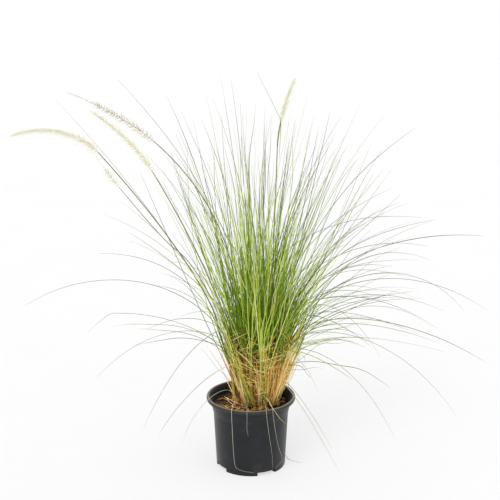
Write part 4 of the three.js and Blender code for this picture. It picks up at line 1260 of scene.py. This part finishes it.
# Single leaves that lie loose: their width, how dry they are and their points
LOOSE = [
    (1.5, 0.9, [
        (16, -22, 143), (23, -35, 168), (34, -62, 171), (43, -85, 163), (52, -83, 148), (62, -76, 131),
        (72, -68, 118),
    ]),
    (1.5, 0.2, [
        (-12, -2, 142), (-40, -10, 179), (-53, -10, 202), (-68, -10, 215), (-80, -10, 231), (-91, -10, 247),
        (-107, -10, 267),
    ]),
    (1.4, 0.1, [
        (45, 35, 143), (62, 44, 163), (80, 54, 163), (82, 55, 148), (79, 51, 100), (74, 47, 40),
        (72, 40, 9), (76, 27, 1.6), (85, 5, 1.3), (98, -2, 1.3), (106, -9, 1.5), (115, -6, 1.3),
    ]),
    (3.4, 1.0, [(-57, 25, 141), (-47, 12, 140.6), (-38, 2, 140), (-23, -15, 139.6), (-8, -23, 140.5)]),
    (2.6, 1.0, [(-44, 10, 139), (-50, 0, 146), (-44, -14, 143), (-30, -26, 139)]),
]  # fmt: skip
# Bundles of shoots at the front of the clump's foot: how many, their spread at foot and tip, how dry, their
# tone and the points along the bundle
BUNDLES = [
    (15, (5, 10), (0.0, 0.4), (0.3, 0.85), [
        (2, -24, 135), (0, -40, 160), (-16, -54, 205), (-35, -69, 259), (-53, -83, 312), (-66, -94, 354),
    ]),
    (6, (6, 10), (0.5, 0.9), (0.4, 1.0), [
        (-8, -24, 135), (-10, -42, 160), (-27, -55, 210), (-41, -70, 264), (-51, -79, 297),
    ]),
    (7, (3, 6), (0.05, 0.2), (0.5, 0.9), [
        (29, -24, 135), (28, -43, 165), (25, -59, 222), (19, -75, 283), (14, -91, 342),
    ]),
    (4, (3, 5), (0.9, 1.0), (0.8, 1.1), [(18, -24, 135), (17, -44, 168), (13, -59, 222), (8, -74, 278)]),
    (9, (7, 11), (0.8, 1.0), (0.15, 0.8), [
        (42, -20, 135), (44, -43, 165), (58, -57, 215), (74, -72, 271), (87, -85, 319),
    ]),
    (6, (6, 9), (0.7, 1.0), (0.2, 0.9), [
        (52, -14, 135), (55, -40, 168), (69, -57, 218), (80, -71, 266), (86, -78, 295),
    ]),
    (7, (5, 8), (1.0, 1.0), (0.0, 0.3), [
        (46, -20, 135), (50, -44, 180), (54, -58, 220), (60, -70, 264), (65, -82, 307),
    ]),
    (7, (6, 9), (0.9, 1.0), (0.1, 0.8), [
        (36, -22, 135), (38, -44, 170), (42, -60, 225), (46, -76, 280), (50, -92, 335),
    ]),
    (9, (6, 8), (1.0, 1.0), (-0.1, 0.3), [
        (-10, -22, 135), (-12, -48, 192), (-16, -63, 240), (-24, -75, 283), (-30, -86, 323),
    ]),
    (4, (5, 6), (0.9, 1.0), (0.5, 1.0), [
        (-16, -18, 135), (-18, -44, 168), (-24, -57, 215), (-30, -67, 254), (-35, -75, 283),
    ]),
    (9, (6, 9), (1.0, 1.0), (-0.2, 0.3), [
        (11, -24, 135), (9, -42, 162), (0, -52, 198), (-10, -65, 247), (-20, -78, 295),
    ]),
]  # fmt: skip
pieces = {place: Piece(f"tuft_{number:02d}_blades") for number, place in enumerate(free_places, 1)}


def tuft_at(point):
    return pieces[nearest(free_places, point)]


def add_slim(shape, root, seed):
    sheath = {"root": root, "azimuth": shape["azimuth"], "lean": shape["lean"], "length": shape["sheath"]}
    add_tiller(tuft_at(root), "slim", sheath, {**shape, "length": shape["length"] - shape["sheath"]}, seed)


def add_strand(number, place, kind, sheath, shape, seed):
    """Dresses one of the strands that grew."""
    piece = pieces[place]
    if number in HANGING:
        tone, points = HANGING[number]
        add_curl(piece, through(points), 1.3, 0.05, tone, 1.0, varied((-60, 60), seed, TWIST))
    elif kind == "stub":
        add_stub(piece, shape, seed)
    elif kind == "side":
        add_side_blade(piece, sheath["start"], shape, seed)
    else:
        add_tiller(piece, kind, sheath, shape, seed)


def add_fine_blades(place, slot):
    """Thin blades along one sheath. Upright ones are short at the clump's sides, and fewer at its left."""
    sheath = sheath_of(place, slot)
    for blade in range(FINE_BLADES):
        seed = FINE_SEEDS + seed_of(place, slot, blade, 0)
        shape = drawn_blade(sheath, seed)
        shape["lean"] += varied((2, SIDE_LEAN), seed, FALL)
        shape["azimuth"] += varied((-1, 1), seed, FINE_TURN) * (60 if noise(seed, TURNS_FAR) < 0.65 else 160)
        shape["length"] *= between(0.3, 0.95, noise(seed, FINE_LENGTH) ** 1.4)
        right = math.cos(math.radians(shape["azimuth"]))
        if shape["fall"] < UPRIGHT:
            shape["length"] *= 1 - 0.3 * abs(right)
            shape["fall"] *= 0.75 if right < LEFT_SIDE else 0.95
            share = 0.6 if right < LEFT_SIDE else 0.9 if right > RIGHT_SIDE else 1
        else:
            share = 0 if right < LEFT_SIDE else 0.65 if right < RIGHT_SIDE else 0.95
        if noise(seed, KEPT) < share:
            add_fine_blade(pieces[place], up_sheath(sheath, varied((0.3, 0.95), seed, WAVE)), shape, seed)


def add_loose_growth(draw):
    """Dead leaves round the clump's foot, bundles of shoots at its front and thin arching blades."""
    crossing = 0
    while crossing < CROSSING:
        points = crossing_leaf(draw)
        if points is not None:
            finish = {"width": (0.9, 1.8), "dry": (0.5, 1), "tone": (0.2, 0.95), "twist": (-120, 120)}
            add_drawn_curl(tuft_at(points[0]), points, draw, **finish)
            crossing += 1
    for bundle in BUNDLES:
        add_bundle(draw, *bundle)
    for count, azimuths, lengths in ARCHING:
        for _ in range(count):
            shape = vars(drawn(
                draw, azimuth=azimuths, length=lengths, sheath=(90, 200), turn=(-40, 40), out=(0.4, 0.95),
                lean=(6, 20), fall=(60, 125), bend=(0.4, 1),
            ))  # fmt: skip
            root = CROWN + level(shape["azimuth"] + shape["turn"], CROWN_RADIUS * shape["out"])
            add_slim(shape, root, ARCHING_SEEDS + draw.integers(400))


for place, piece in pieces.items():
    add_crown(piece, place)
    add_straw(piece, place, np.random.default_rng(100 + place))
for number, strand in enumerate(strands):
    add_strand(number, *strand)
for width, dry, points in LOOSE:
    add_curl(tuft_at(points[0]), through(points), width, dry, 0.5 + 0.5 * dry, 1 - 0.5 * dry, 40)
for number, shape in enumerate(rows(SLIM_BLADES)):
    add_slim(shape, wanted_root(shape), SLIM_SEEDS + number)
for place, slot in grown:
    add_fine_blades(place, slot)
add_loose_growth(np.random.default_rng(61))
for number, piece in enumerate(pieces.values(), 1):
    piece.finish(LEAF, "blade", f"tuft_{number:02d}")


# Flower stems and plumes

CULM_JOINTS = (172.5, 302.5, 432.5)
JOINT_STEP = 2.5
TRIANGLE, SQUARE = polygon(3), polygon(4)
HUSK_SHAPE = ((0.15, 0.2), (0.45, 0.7), (0.75, 0.45))  # share of its length, radius
PLUME_BRISTLE = 24
BRISTLE_RADIUS = 0.14
AXIS_RINGS = 40
WHORL_SIZE = 4
BARE_WHORL_SIZE = 2
# Each plume: finish, spacing of its whorls, slants, share held in the leaf, where it thins out, bristles in a
# spikelet, how far they spread and the length of its husk
PLUMES = (
    (CREAM, 3.9, (42, 72), 0, 1, 7, 0.22, 9),
    (YELLOW, 4.6, (44, 74), 0, 1, 6, 0.22, 9),
    (ROSE, 5.6, (50, 70), 0, 0.74, 6, 0.14, 11),
    (YELLOW, 3.8, (34, 54), 0.34, 1, 8, 0.24, 5.5),
)
SIDE_PLUME_STYLE = (6.0, (40, 65), 0, 0.42, 8, 0.24, 6)
SIDE_STEM = [
    (-12, 16, 141), (-25, 15, 206), (-44, 13, 275), (-74, 12, 346), (-107, 12, 412), (-139, 12, 457),
    (-174, 12, 489), (-217, 12, 538), (-249, 12, 578), (-271, 12, 605),
]  # fmt: skip
SIDE_PLUME = [(-271, 12, 605), (-288, 12, 628), (-300, 12, 647), (-316, 12, 668), (-331, 12, 688)]
FLAG_LEAF = [
    (58, 35, 660), (60, 35, 700), (61, 35, 738), (53, 35, 756), (43, 34, 777), (31, 33, 801), (20, 32, 821),
    (14, 32, 838),
]  # fmt: skip
FLAG_SHEATH = 0.37  # of the fourth plume's length
FLAG_SHEATH_RADII = ((0, 0.2, FLAG_SHEATH), (1.2, 1.6, 1.1))


def add_culm(piece, flower, seed):
    route = flower["route"]
    length = np.append(0, np.cumsum(np.linalg.norm(np.diff(route, axis=0), axis=1)))
    joints = [joint + step for joint in CULM_JOINTS for step in (-JOINT_STEP, 0, JOINT_STEP)]
    at = np.unique(np.append(np.linspace(0, length[-1], 60), joints))
    points = np.stack([np.interp(at, length, route[:, k]) for k in range(3)], 1)
    radius = between(CULM_FOOT_RADIUS, CULM_TOP_RADIUS, at / length[-1])
    dry = 0.9 * (1 - smooth(60, 130, at)) + 0.05
    for joint in CULM_JOINTS:
        near = np.exp(-(((at - joint) / 2.2) ** 2))
        radius = radius * (1 + 0.3 * near)
        dry = np.maximum(dry, 0.8 * near)
    piece.strand(loft(points, flower["azimuth"], tube(polygon(10), radius)), dry, noise(seed, TONE))


def hoop(centre, aim, corners, radius):
    u = unit(np.cross(aim, (0.31, 0.2, 0.9)))
    return centre + radius * (corners[::-1, :1] * u + corners[::-1, 1:] * np.cross(aim, u))


def add_spikelet(piece, draw, centre, axis, turn, slant, reach, bristles, spread, husk):
    """A seed in a brush of bristles, which leaves the axis steeply and leans towards the plume's tip."""
    across = unit(np.cross(axis, (0.3, 1, 0.2)))
    outward = across * math.cos(turn) + np.cross(axis, across) * math.sin(turn)
    heading = axis * math.cos(slant) + outward * math.sin(slant)
    start = centre + outward * 0.5
    seed = heading * husk * reach
    body = [hoop(start + seed * at, heading, SQUARE, radius * reach) for at, radius in HUSK_SHAPE]
    piece.strand(np.array(body), 0.9, draw.uniform(0, 1), start + seed)
    for _ in range(bristles):
        aim = unit(heading + draw.normal(0, spread, 3))
        half = PLUME_BRISTLE * reach * draw.uniform(0.5, 1.0) / 2
        middle = start + aim * half
        rings = np.array([hoop(point, aim, TRIANGLE, BRISTLE_RADIUS) for point in (start, middle)])
        piece.strand(rings, 0.0, draw.uniform(0, 1), middle + unit(aim + 0.45 * axis) * half)


def spikelets(piece, route, azimuth, seed, spacing, slants, held_to, bare_from, *spikelet):
    """Whorls of spikelets on a slim axis. Up to held_to the leaf below still clasps them, and from bare_from
    on they are small and sparse."""
    draw = np.random.default_rng(seed)
    shares = np.linspace(0, 1, AXIS_RINGS)
    piece.strand(loft(sample(route, shares), azimuth, tube(polygon(6), 0.5 * (1 - 0.3 * shares))), 0.95, 0.1)
    whorls = int(np.linalg.norm(np.diff(route, axis=0), axis=1).sum() / spacing)
    for whorl in range(whorls):
        share = (whorl + draw.uniform(0.35, 0.65)) / whorls
        if share < held_to:
            continue
        before, centre, after = sample(route, [share - 0.02, share, share + 0.02])
        fullness = min(1, 0.6 + 4 * (share - held_to)) * (1 - 0.45 * share**2)
        fullness *= 1 - 0.6 * smooth(bare_from - 0.1, bare_from, share)
        for k in range(WHORL_SIZE if share < bare_from else BARE_WHORL_SIZE):
            turn = 2 * math.pi * (k / WHORL_SIZE + 0.118 * whorl) + draw.uniform(-0.3, 0.3)
            slant = math.radians(draw.uniform(*slants)) * (1 - 0.4 * share)
            reach = fullness * draw.uniform(0.8, 1.1)
            add_spikelet(piece, draw, centre, unit(after - before), turn, slant, reach, *spikelet)


def build_flowers():
    for number, (flower, (finish, *style)) in enumerate(zip(flowers, PLUMES), 1):
        culm = Piece(f"culm_{number}_stem")
        add_culm(culm, flower, 500 + number)
        culm.finish(STEM, "culm", f"culm_{number}")
        head = Piece(f"plume_{number}_bristles")
        spikelets(head, flower["plume"], flower["azimuth"], 500 + number, *style)
        head.finish(finish, "plume", f"plume_{number}")


def build_flag_leaf():
    """The fourth stem's last leaf, with the sheath that clasps the foot of its plume."""
    flag, curve, flower = Piece("culm_4_flag_leaf"), through(FLAG_LEAF), flowers[3]
    add_curl(flag, curve, 1.5, 0.0, 0.8, np.linspace(0.2, 1, len(curve))[:-1], 30)
    shares = np.linspace(0, FLAG_SHEATH, 12)
    sheath = tube(ROUND, np.interp(shares, *FLAG_SHEATH_RADII))
    flag.strand(loft(sample(flower["plume"], shares), flower["azimuth"], sheath), 0.0, 0.3, pale=0.6)
    flag.finish(LEAF, "blade")


def build_side_flower():
    stem, stalk = Piece("side_flower_stem"), through(SIDE_STEM)
    dry = 0.9 * (1 - smooth(0, 12, np.arange(len(stalk))))
    stem.strand(loft(stalk, None, tube(ROUND, np.linspace(1.3, 0.6, len(stalk)))), dry, 0.5)
    stem.finish(STEM, "culm")
    head = Piece("side_flower_bristles")
    spikelets(head, through(SIDE_PLUME), None, 511, *SIDE_PLUME_STYLE)
    head.finish(CREAM, "plume")


build_flowers()
build_flag_leaf()
build_side_flower()


# Pot

NOTCH_INNER = BASE_RADIUS - NOTCH_DEPTH
ROOF = NOTCH_HEIGHT + WALL  # of a notch
WALL_HEIGHTS = (0, BODY_TOP, COLLAR_FOOT, COLLAR_TOP)
WALL_RADII = (BASE_RADIUS, BODY_TOP_RADIUS, COLLAR_FOOT_RADIUS, COLLAR_RADIUS)
WALL_MIDDLE = 60
CORNER_ROUNDING = 1.6
POT_SIDES = 144
SHARP_EDGE = 32


def wall_radius(z):
    return float(np.interp(z, WALL_HEIGHTS, WALL_RADII))


def rounded(profile, radius):
    """The profile with its corners turned into short curves."""
    points = [np.array(p, float) for p in profile]
    out = [points[0]]
    for before, corner, after in zip(points, points[1:], points[2:]):
        to, fro = before - corner, after - corner
        reach = min(radius, np.linalg.norm(to) / 2.2, np.linalg.norm(fro) / 2.2)
        a, b = corner + unit(to) * reach, corner + unit(fro) * reach
        out += [(1 - t) ** 2 * a + 2 * t * (1 - t) * corner + t * t * b for t in (0, 0.33, 0.67, 1)]
    return out + [points[-1]]


def pot_column(outer_notched, inner_notched):
    """The pot's outline, as (radius, height) from the middle of its underside to the middle of its floor."""
    rim_foot, rim_top, r = POT_HEIGHT - RIM_DEPTH, RIM_RADIUS - RIM_LAND, RIM_ROUNDING
    if outer_notched:
        below = [(NOTCH_INNER, z) for z in (1, 4, 7)] + [(x, NOTCH_HEIGHT) for x in (60, 66, 72)]
    else:
        below = [
            (NOTCH_INNER, 0), (62, 0), (BASE_RADIUS - FOOT_ROUNDING, 0), (BASE_RADIUS - 0.45, 0.45),
            (BASE_RADIUS, FOOT_ROUNDING), (wall_radius(5), 5),
        ]  # fmt: skip
    if inner_notched:
        inside = [
            (66, ROOF), (60, ROOF), (NOTCH_INNER - WALL + 0.5, ROOF), (NOTCH_INNER - WALL, ROOF - 0.5),
        ]  # fmt: skip
    else:
        inside = [(wall_radius(6) - WALL, 6), (wall_radius(FLOOR) - WALL, FLOOR), (66, FLOOR), (60, FLOOR)]
    top = [
        (wall_radius(NOTCH_HEIGHT), NOTCH_HEIGHT), (wall_radius(WALL_MIDDLE), WALL_MIDDLE),
        (BODY_TOP_RADIUS, BODY_TOP), (COLLAR_FOOT_RADIUS, COLLAR_FOOT), (COLLAR_RADIUS, COLLAR_TOP),
        (COLLAR_RADIUS + 0.3 * r, rim_foot - 0.2 * r), (RIM_RADIUS - 0.5 * r, rim_foot),
        (RIM_RADIUS, rim_foot + 0.7 * r), (RIM_RADIUS, POT_HEIGHT - r),
        (RIM_RADIUS - 0.4 * r, POT_HEIGHT - 0.2 * r), (rim_top, POT_HEIGHT),
        (rim_top - 0.7 * r, POT_HEIGHT - 0.3 * r), (rim_top - 1.1 * r, POT_HEIGHT - 1.1 * r),
        (COLLAR_RADIUS - WALL, COLLAR_TOP), (COLLAR_FOOT_RADIUS - WALL, COLLAR_FOOT),
        (BODY_TOP_RADIUS - WALL, BODY_TOP), (wall_radius(WALL_MIDDLE) - WALL, WALL_MIDDLE),
    ]  # fmt: skip
    inside = [(wall_radius(ROOF) - WALL, ROOF), *inside, (NOTCH_INNER - WALL, FLOOR), (0, FLOOR)]
    return [(0, 0), (NOTCH_INNER - 1, 0), *below, *map(tuple, rounded(top, CORNER_ROUNDING)), *inside]


def build_pot():
    spare = math.degrees(WALL / BASE_RADIUS)
    middles = [NOTCH_FIRST - 90 + k * 360 / NOTCHES for k in range(NOTCHES)]
    start = middles[0] - 45
    turns = [(start + 360 / POT_SIDES * k, None, None) for k in range(POT_SIDES)]
    for middle in middles:
        for half, which in ((NOTCH_WIDTH / 2, "outer"), (NOTCH_WIDTH / 2 + spare, "inner")):
            for edge, notched in ((middle - half, True), (middle + half, False)):
                turns.append(((edge - start) % 360 + start, which, notched))
    state = {"outer": False, "inner": False}
    azimuths, columns = [], []
    for azimuth, which, notched in sorted(turns, key=lambda turn: turn[0]):
        azimuths.append(azimuth)
        columns.append(pot_column(*state.values()))
        if which:
            state[which] = notched
            azimuths.append(azimuth)
            columns.append(pot_column(*state.values()))
    profiles = np.array(columns)
    points = turned(profiles[..., 0], profiles[..., 1], np.radians(azimuths)[:, None])
    cell = np.arange(points[..., 0].size).reshape(profiles.shape[:2])
    following = np.roll(cell, -1, 0)
    quads = np.stack([cell[:, :-1], following[:, :-1], following[:, 1:], cell[:, 1:]], 2).reshape(-1, 4)
    mesh = bpy.data.meshes.new("pot_walls")
    mesh.from_pydata((points.reshape(-1, 3) * MM).tolist(), [], quads.tolist())
    made = bmesh.new()
    made.from_mesh(mesh)
    bmesh.ops.remove_doubles(made, verts=made.verts, dist=1e-6)
    bmesh.ops.dissolve_degenerate(made, edges=made.edges, dist=1e-7)
    bmesh.ops.recalc_face_normals(made, faces=made.faces)
    made.to_mesh(mesh)
    made.free()
    return drained(mesh, middles)


def drained(mesh, middles):
    """The pot with a round hole in the roof of each notch."""
    low, high, radius = FLOOR, NOTCH_HEIGHT + 2 * WALL, DRAIN_RADIUS * MM
    pegs = bmesh.new()
    for middle in middles:
        where = Vector((level(middle, NOTCH_INNER + NOTCH_DEPTH / 2) + (0, 0, (low + high) / 2)) * MM)
        size = {"segments": 24, "radius1": radius, "radius2": radius, "depth": (high - low) * MM}
        bmesh.ops.create_cone(pegs, cap_ends=True, cap_tris=False, matrix=Matrix.Translation(where), **size)
    tool = bpy.data.meshes.new("drain_pegs")
    pegs.to_mesh(tool)
    pegs.free()
    pot, cutter = linked(mesh.name, mesh), linked(tool.name, tool)
    cut = pot.modifiers.new("holes", "BOOLEAN")
    cut.operation, cut.solver, cut.object = "DIFFERENCE", "EXACT", cutter
    opened = bpy.data.meshes.new_from_object(pot.evaluated_get(bpy.context.evaluated_depsgraph_get()))
    for each in (pot, cutter):
        bpy.data.objects.remove(each)
    bpy.data.meshes.remove(mesh)
    opened.name = "nursery_pot_shell"
    return opened


place_mesh(build_pot(), PLASTIC, "pot", "nursery_pot", sharp=SHARP_EDGE)


# Soil

SOIL_EDGE = wall_radius(SOIL_TOP) - WALL - GAP - 0.6
SOIL_RINGS = 70
SOIL_SIDES = 220
FIBRES = 1500
FIBRE_STEPS = 5
CRUMBS = 700
LITTER = 150
LITTER_REACH = 78


def soil_height(x, y):
    mound = SOIL_MOUND * (1 - (np.hypot(x, y) / wall_radius(SOIL_TOP)) ** 2)
    waves = np.sin(x * 0.31 + 1.3) * np.cos(y * 0.27) + 0.6 * np.sin(x * 0.13 - y * 0.41)
    return SOIL_TOP + mound + SOIL_ROUGHNESS * (waves - 0.9)


def soil_surface(draw, angles):
    surface = turned(SOIL_EDGE * np.linspace(1, 0.004, SOIL_RINGS)[:, None], 0.0, angles)
    x, y, _ = np.moveaxis(surface, 2, 0)
    lumps = 0
    for scale, size in ((0.9, 0.35), (1.9, 0.3), (3.7, 0.22)):
        a, b, c, d = draw.uniform(0, 6, 4)
        across = np.sin(scale * x + a + 1.7 * np.sin(0.6 * scale * y + b))
        lumps = lumps + size * across * np.sin(scale * y + c + 1.7 * np.sin(0.5 * scale * x + d))
    surface[..., 2] = soil_height(x, y) + lumps + draw.uniform(-0.18, 0.18, x.shape)
    surface[0, :, 2] -= 0.6
    return surface


def build_soil():
    draw = np.random.default_rng(41)
    angles = np.radians(np.arange(SOIL_SIDES) * 360 / SOIL_SIDES)
    inside, roof = WALL + GAP, ROOF + 0.6
    below = np.array([
        (NOTCH_INNER - WALL - 1, FLOOR + GAP), (NOTCH_INNER - WALL - 1, roof),
        (wall_radius(12) - inside, roof), (wall_radius(WALL_MIDDLE) - inside, WALL_MIDDLE),
        (wall_radius(COLLAR_FOOT) - inside, COLLAR_FOOT),
    ])  # fmt: skip
    ground = Piece("potting_soil_coir")
    below = turned(below[:, :1], below[:, 1:], angles)
    ground.strand(np.concatenate([below, soil_surface(draw, angles)]), 0.0, 0.3)
    for _ in range(FIBRES):
        add_fibre(ground, draw, *on_soil(draw))
    for _ in range(CRUMBS):
        add_crumb(ground, draw, *on_soil(draw))
    ground.finish(COIR, "soil", "potting_soil")


def on_soil(draw):
    radius, angle = SOIL_EDGE * math.sqrt(draw.uniform(0, 1)) * 0.97, draw.uniform(0, 2 * math.pi)
    return radius * math.cos(angle), radius * math.sin(angle)


def add_fibre(piece, draw, x, y):
    fibre = drawn(
        draw, heading=(0, 360), length=(4, 16), radius=(0.12, 0.3), tone=(0.35, 1), curve=(-0.12, 0.12)
    )
    a, step, points = math.radians(fibre.heading), fibre.length / FIBRE_STEPS, []
    for _ in range(FIBRE_STEPS + 1):
        if math.hypot(x, y) > SOIL_EDGE - 1:
            break
        points.append((x, y, soil_height(x, y) + fibre.radius + draw.uniform(0, 0.8)))
        x, y = x + math.cos(a) * step, y + math.sin(a) * step
        a += fibre.curve * step + draw.uniform(-0.2, 0.2)
    if len(points) > 2:
        outline = tube(TRIANGLE, np.full(len(points), fibre.radius))
        piece.strand(loft(np.array(points), fibre.heading, outline), 0.0, fibre.tone)


def add_crumb(piece, draw, x, y):
    size, z = draw.uniform(0.6, 2.0), soil_height(x, y)
    angles = np.radians(72 * np.arange(5) + draw.uniform(0, 72))
    rings = []
    for height, wide in ((-0.5, 0.6), (0.1, 1.0), (0.55, 0.6)):
        reach = size * wide * draw.uniform(0.7, 1.1, 5)
        rings.append(turned(reach, z + size * height + draw.uniform(-0.1, 0.1, 5) * size, angles, (x, y)))
    piece.strand(np.array(rings), 0.0, draw.uniform(0, 0.8), (x, y, z + 0.8 * size))


def build_litter():
    """Bits of dead leaf on the soil, thickest beside the clump at the left."""
    draw = np.random.default_rng(77)
    litter, corner = Piece("straw_litter"), np.array([LITTER_REACH, LITTER_REACH, 0])
    while litter.items < LITTER:
        beside = draw.random() < 0.6
        start = draw.normal((-22, -14, 0), (30, 30, 0)) if beside else draw.uniform(-corner, corner)
        leaf = drawn(draw, length=(6, 42), azimuth=(0, 360), kink=(-70, 70))
        points = kinked(draw, start, leaf.azimuth, (90, 90), (leaf.length / 2, leaf.length / 2), leaf.kink)
        x, y = points[:, 0], points[:, 1]
        if np.hypot(x, y).max() < LITTER_REACH:
            arch = np.sin(np.linspace(0, math.pi, len(points)))
            points[:, 2] = soil_height(x, y) + draw.uniform(0.7, 2.5) + np.abs(draw.normal(0, 1.2)) * arch
            curl = drawn(draw, width=(0.7, 2.4), tone=(-0.3, 0.7), twist=(-90, 90))
            add_curl(litter, points, curl.width, 1.0, curl.tone, 0.0, curl.twist)
    litter.finish(LEAF, "blade")


build_soil()
build_litter()


# Studio: a pale floor, white surroundings, soft light from above the camera, and the camera

FLOOR_REACH = 60
# Each light: its aim, its strength and its width in degrees
LIGHTS = {"key_light": ((0.4, 0.75, -0.8), 1.5, 35), "fill_light": ((-0.6, 0.5, -0.9), 0.4, 80)}
CAMERA_PLACE = (-0.0019, -2.2, 1.0359)
CAMERA_DOWN = 14.3
FOCAL_LENGTH = 78.96
SENSOR_WIDTH = 36


def build_studio():
    scene = bpy.context.scene
    floor = bpy.data.meshes.new("studio_floor")
    corners = [(x * FLOOR_REACH, y * FLOOR_REACH, 0) for x, y in ((-1, -1), (1, -1), (1, 1), (-1, 1))]
    floor.from_pydata(corners, [], [(0, 1, 2, 3)])
    floor.materials.append(floor_look())
    ground = linked("studio_floor", floor)
    ground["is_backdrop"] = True
    scene.world = bpy.data.worlds.new("studio")
    scene.world.use_nodes = True
    background = scene.world.node_tree.nodes["Background"].inputs
    put((1, 1, 1), background["Color"])
    put(1.0, background["Strength"])
    for name, (aim, power, spread) in LIGHTS.items():
        light = bpy.data.lights.new(name, "SUN")
        light.energy, light.angle = power, math.radians(spread)
        linked(name, light).rotation_euler = Vector(aim).to_track_quat("-Z", "Y").to_euler()
    lens = bpy.data.cameras.new("camera")
    lens.sensor_width, lens.lens = SENSOR_WIDTH, FOCAL_LENGTH
    scene.camera = linked("camera", lens)
    scene.camera.location = CAMERA_PLACE
    scene.camera.rotation_euler = (math.radians(90 - CAMERA_DOWN), 0, 0)
    scene.view_settings.view_transform = "Standard"


build_studio()

boxes = {"frame": frame_box, "visual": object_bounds()}
{name: [[float(v) for v in corner] for corner in box] for name, box in boxes.items()}
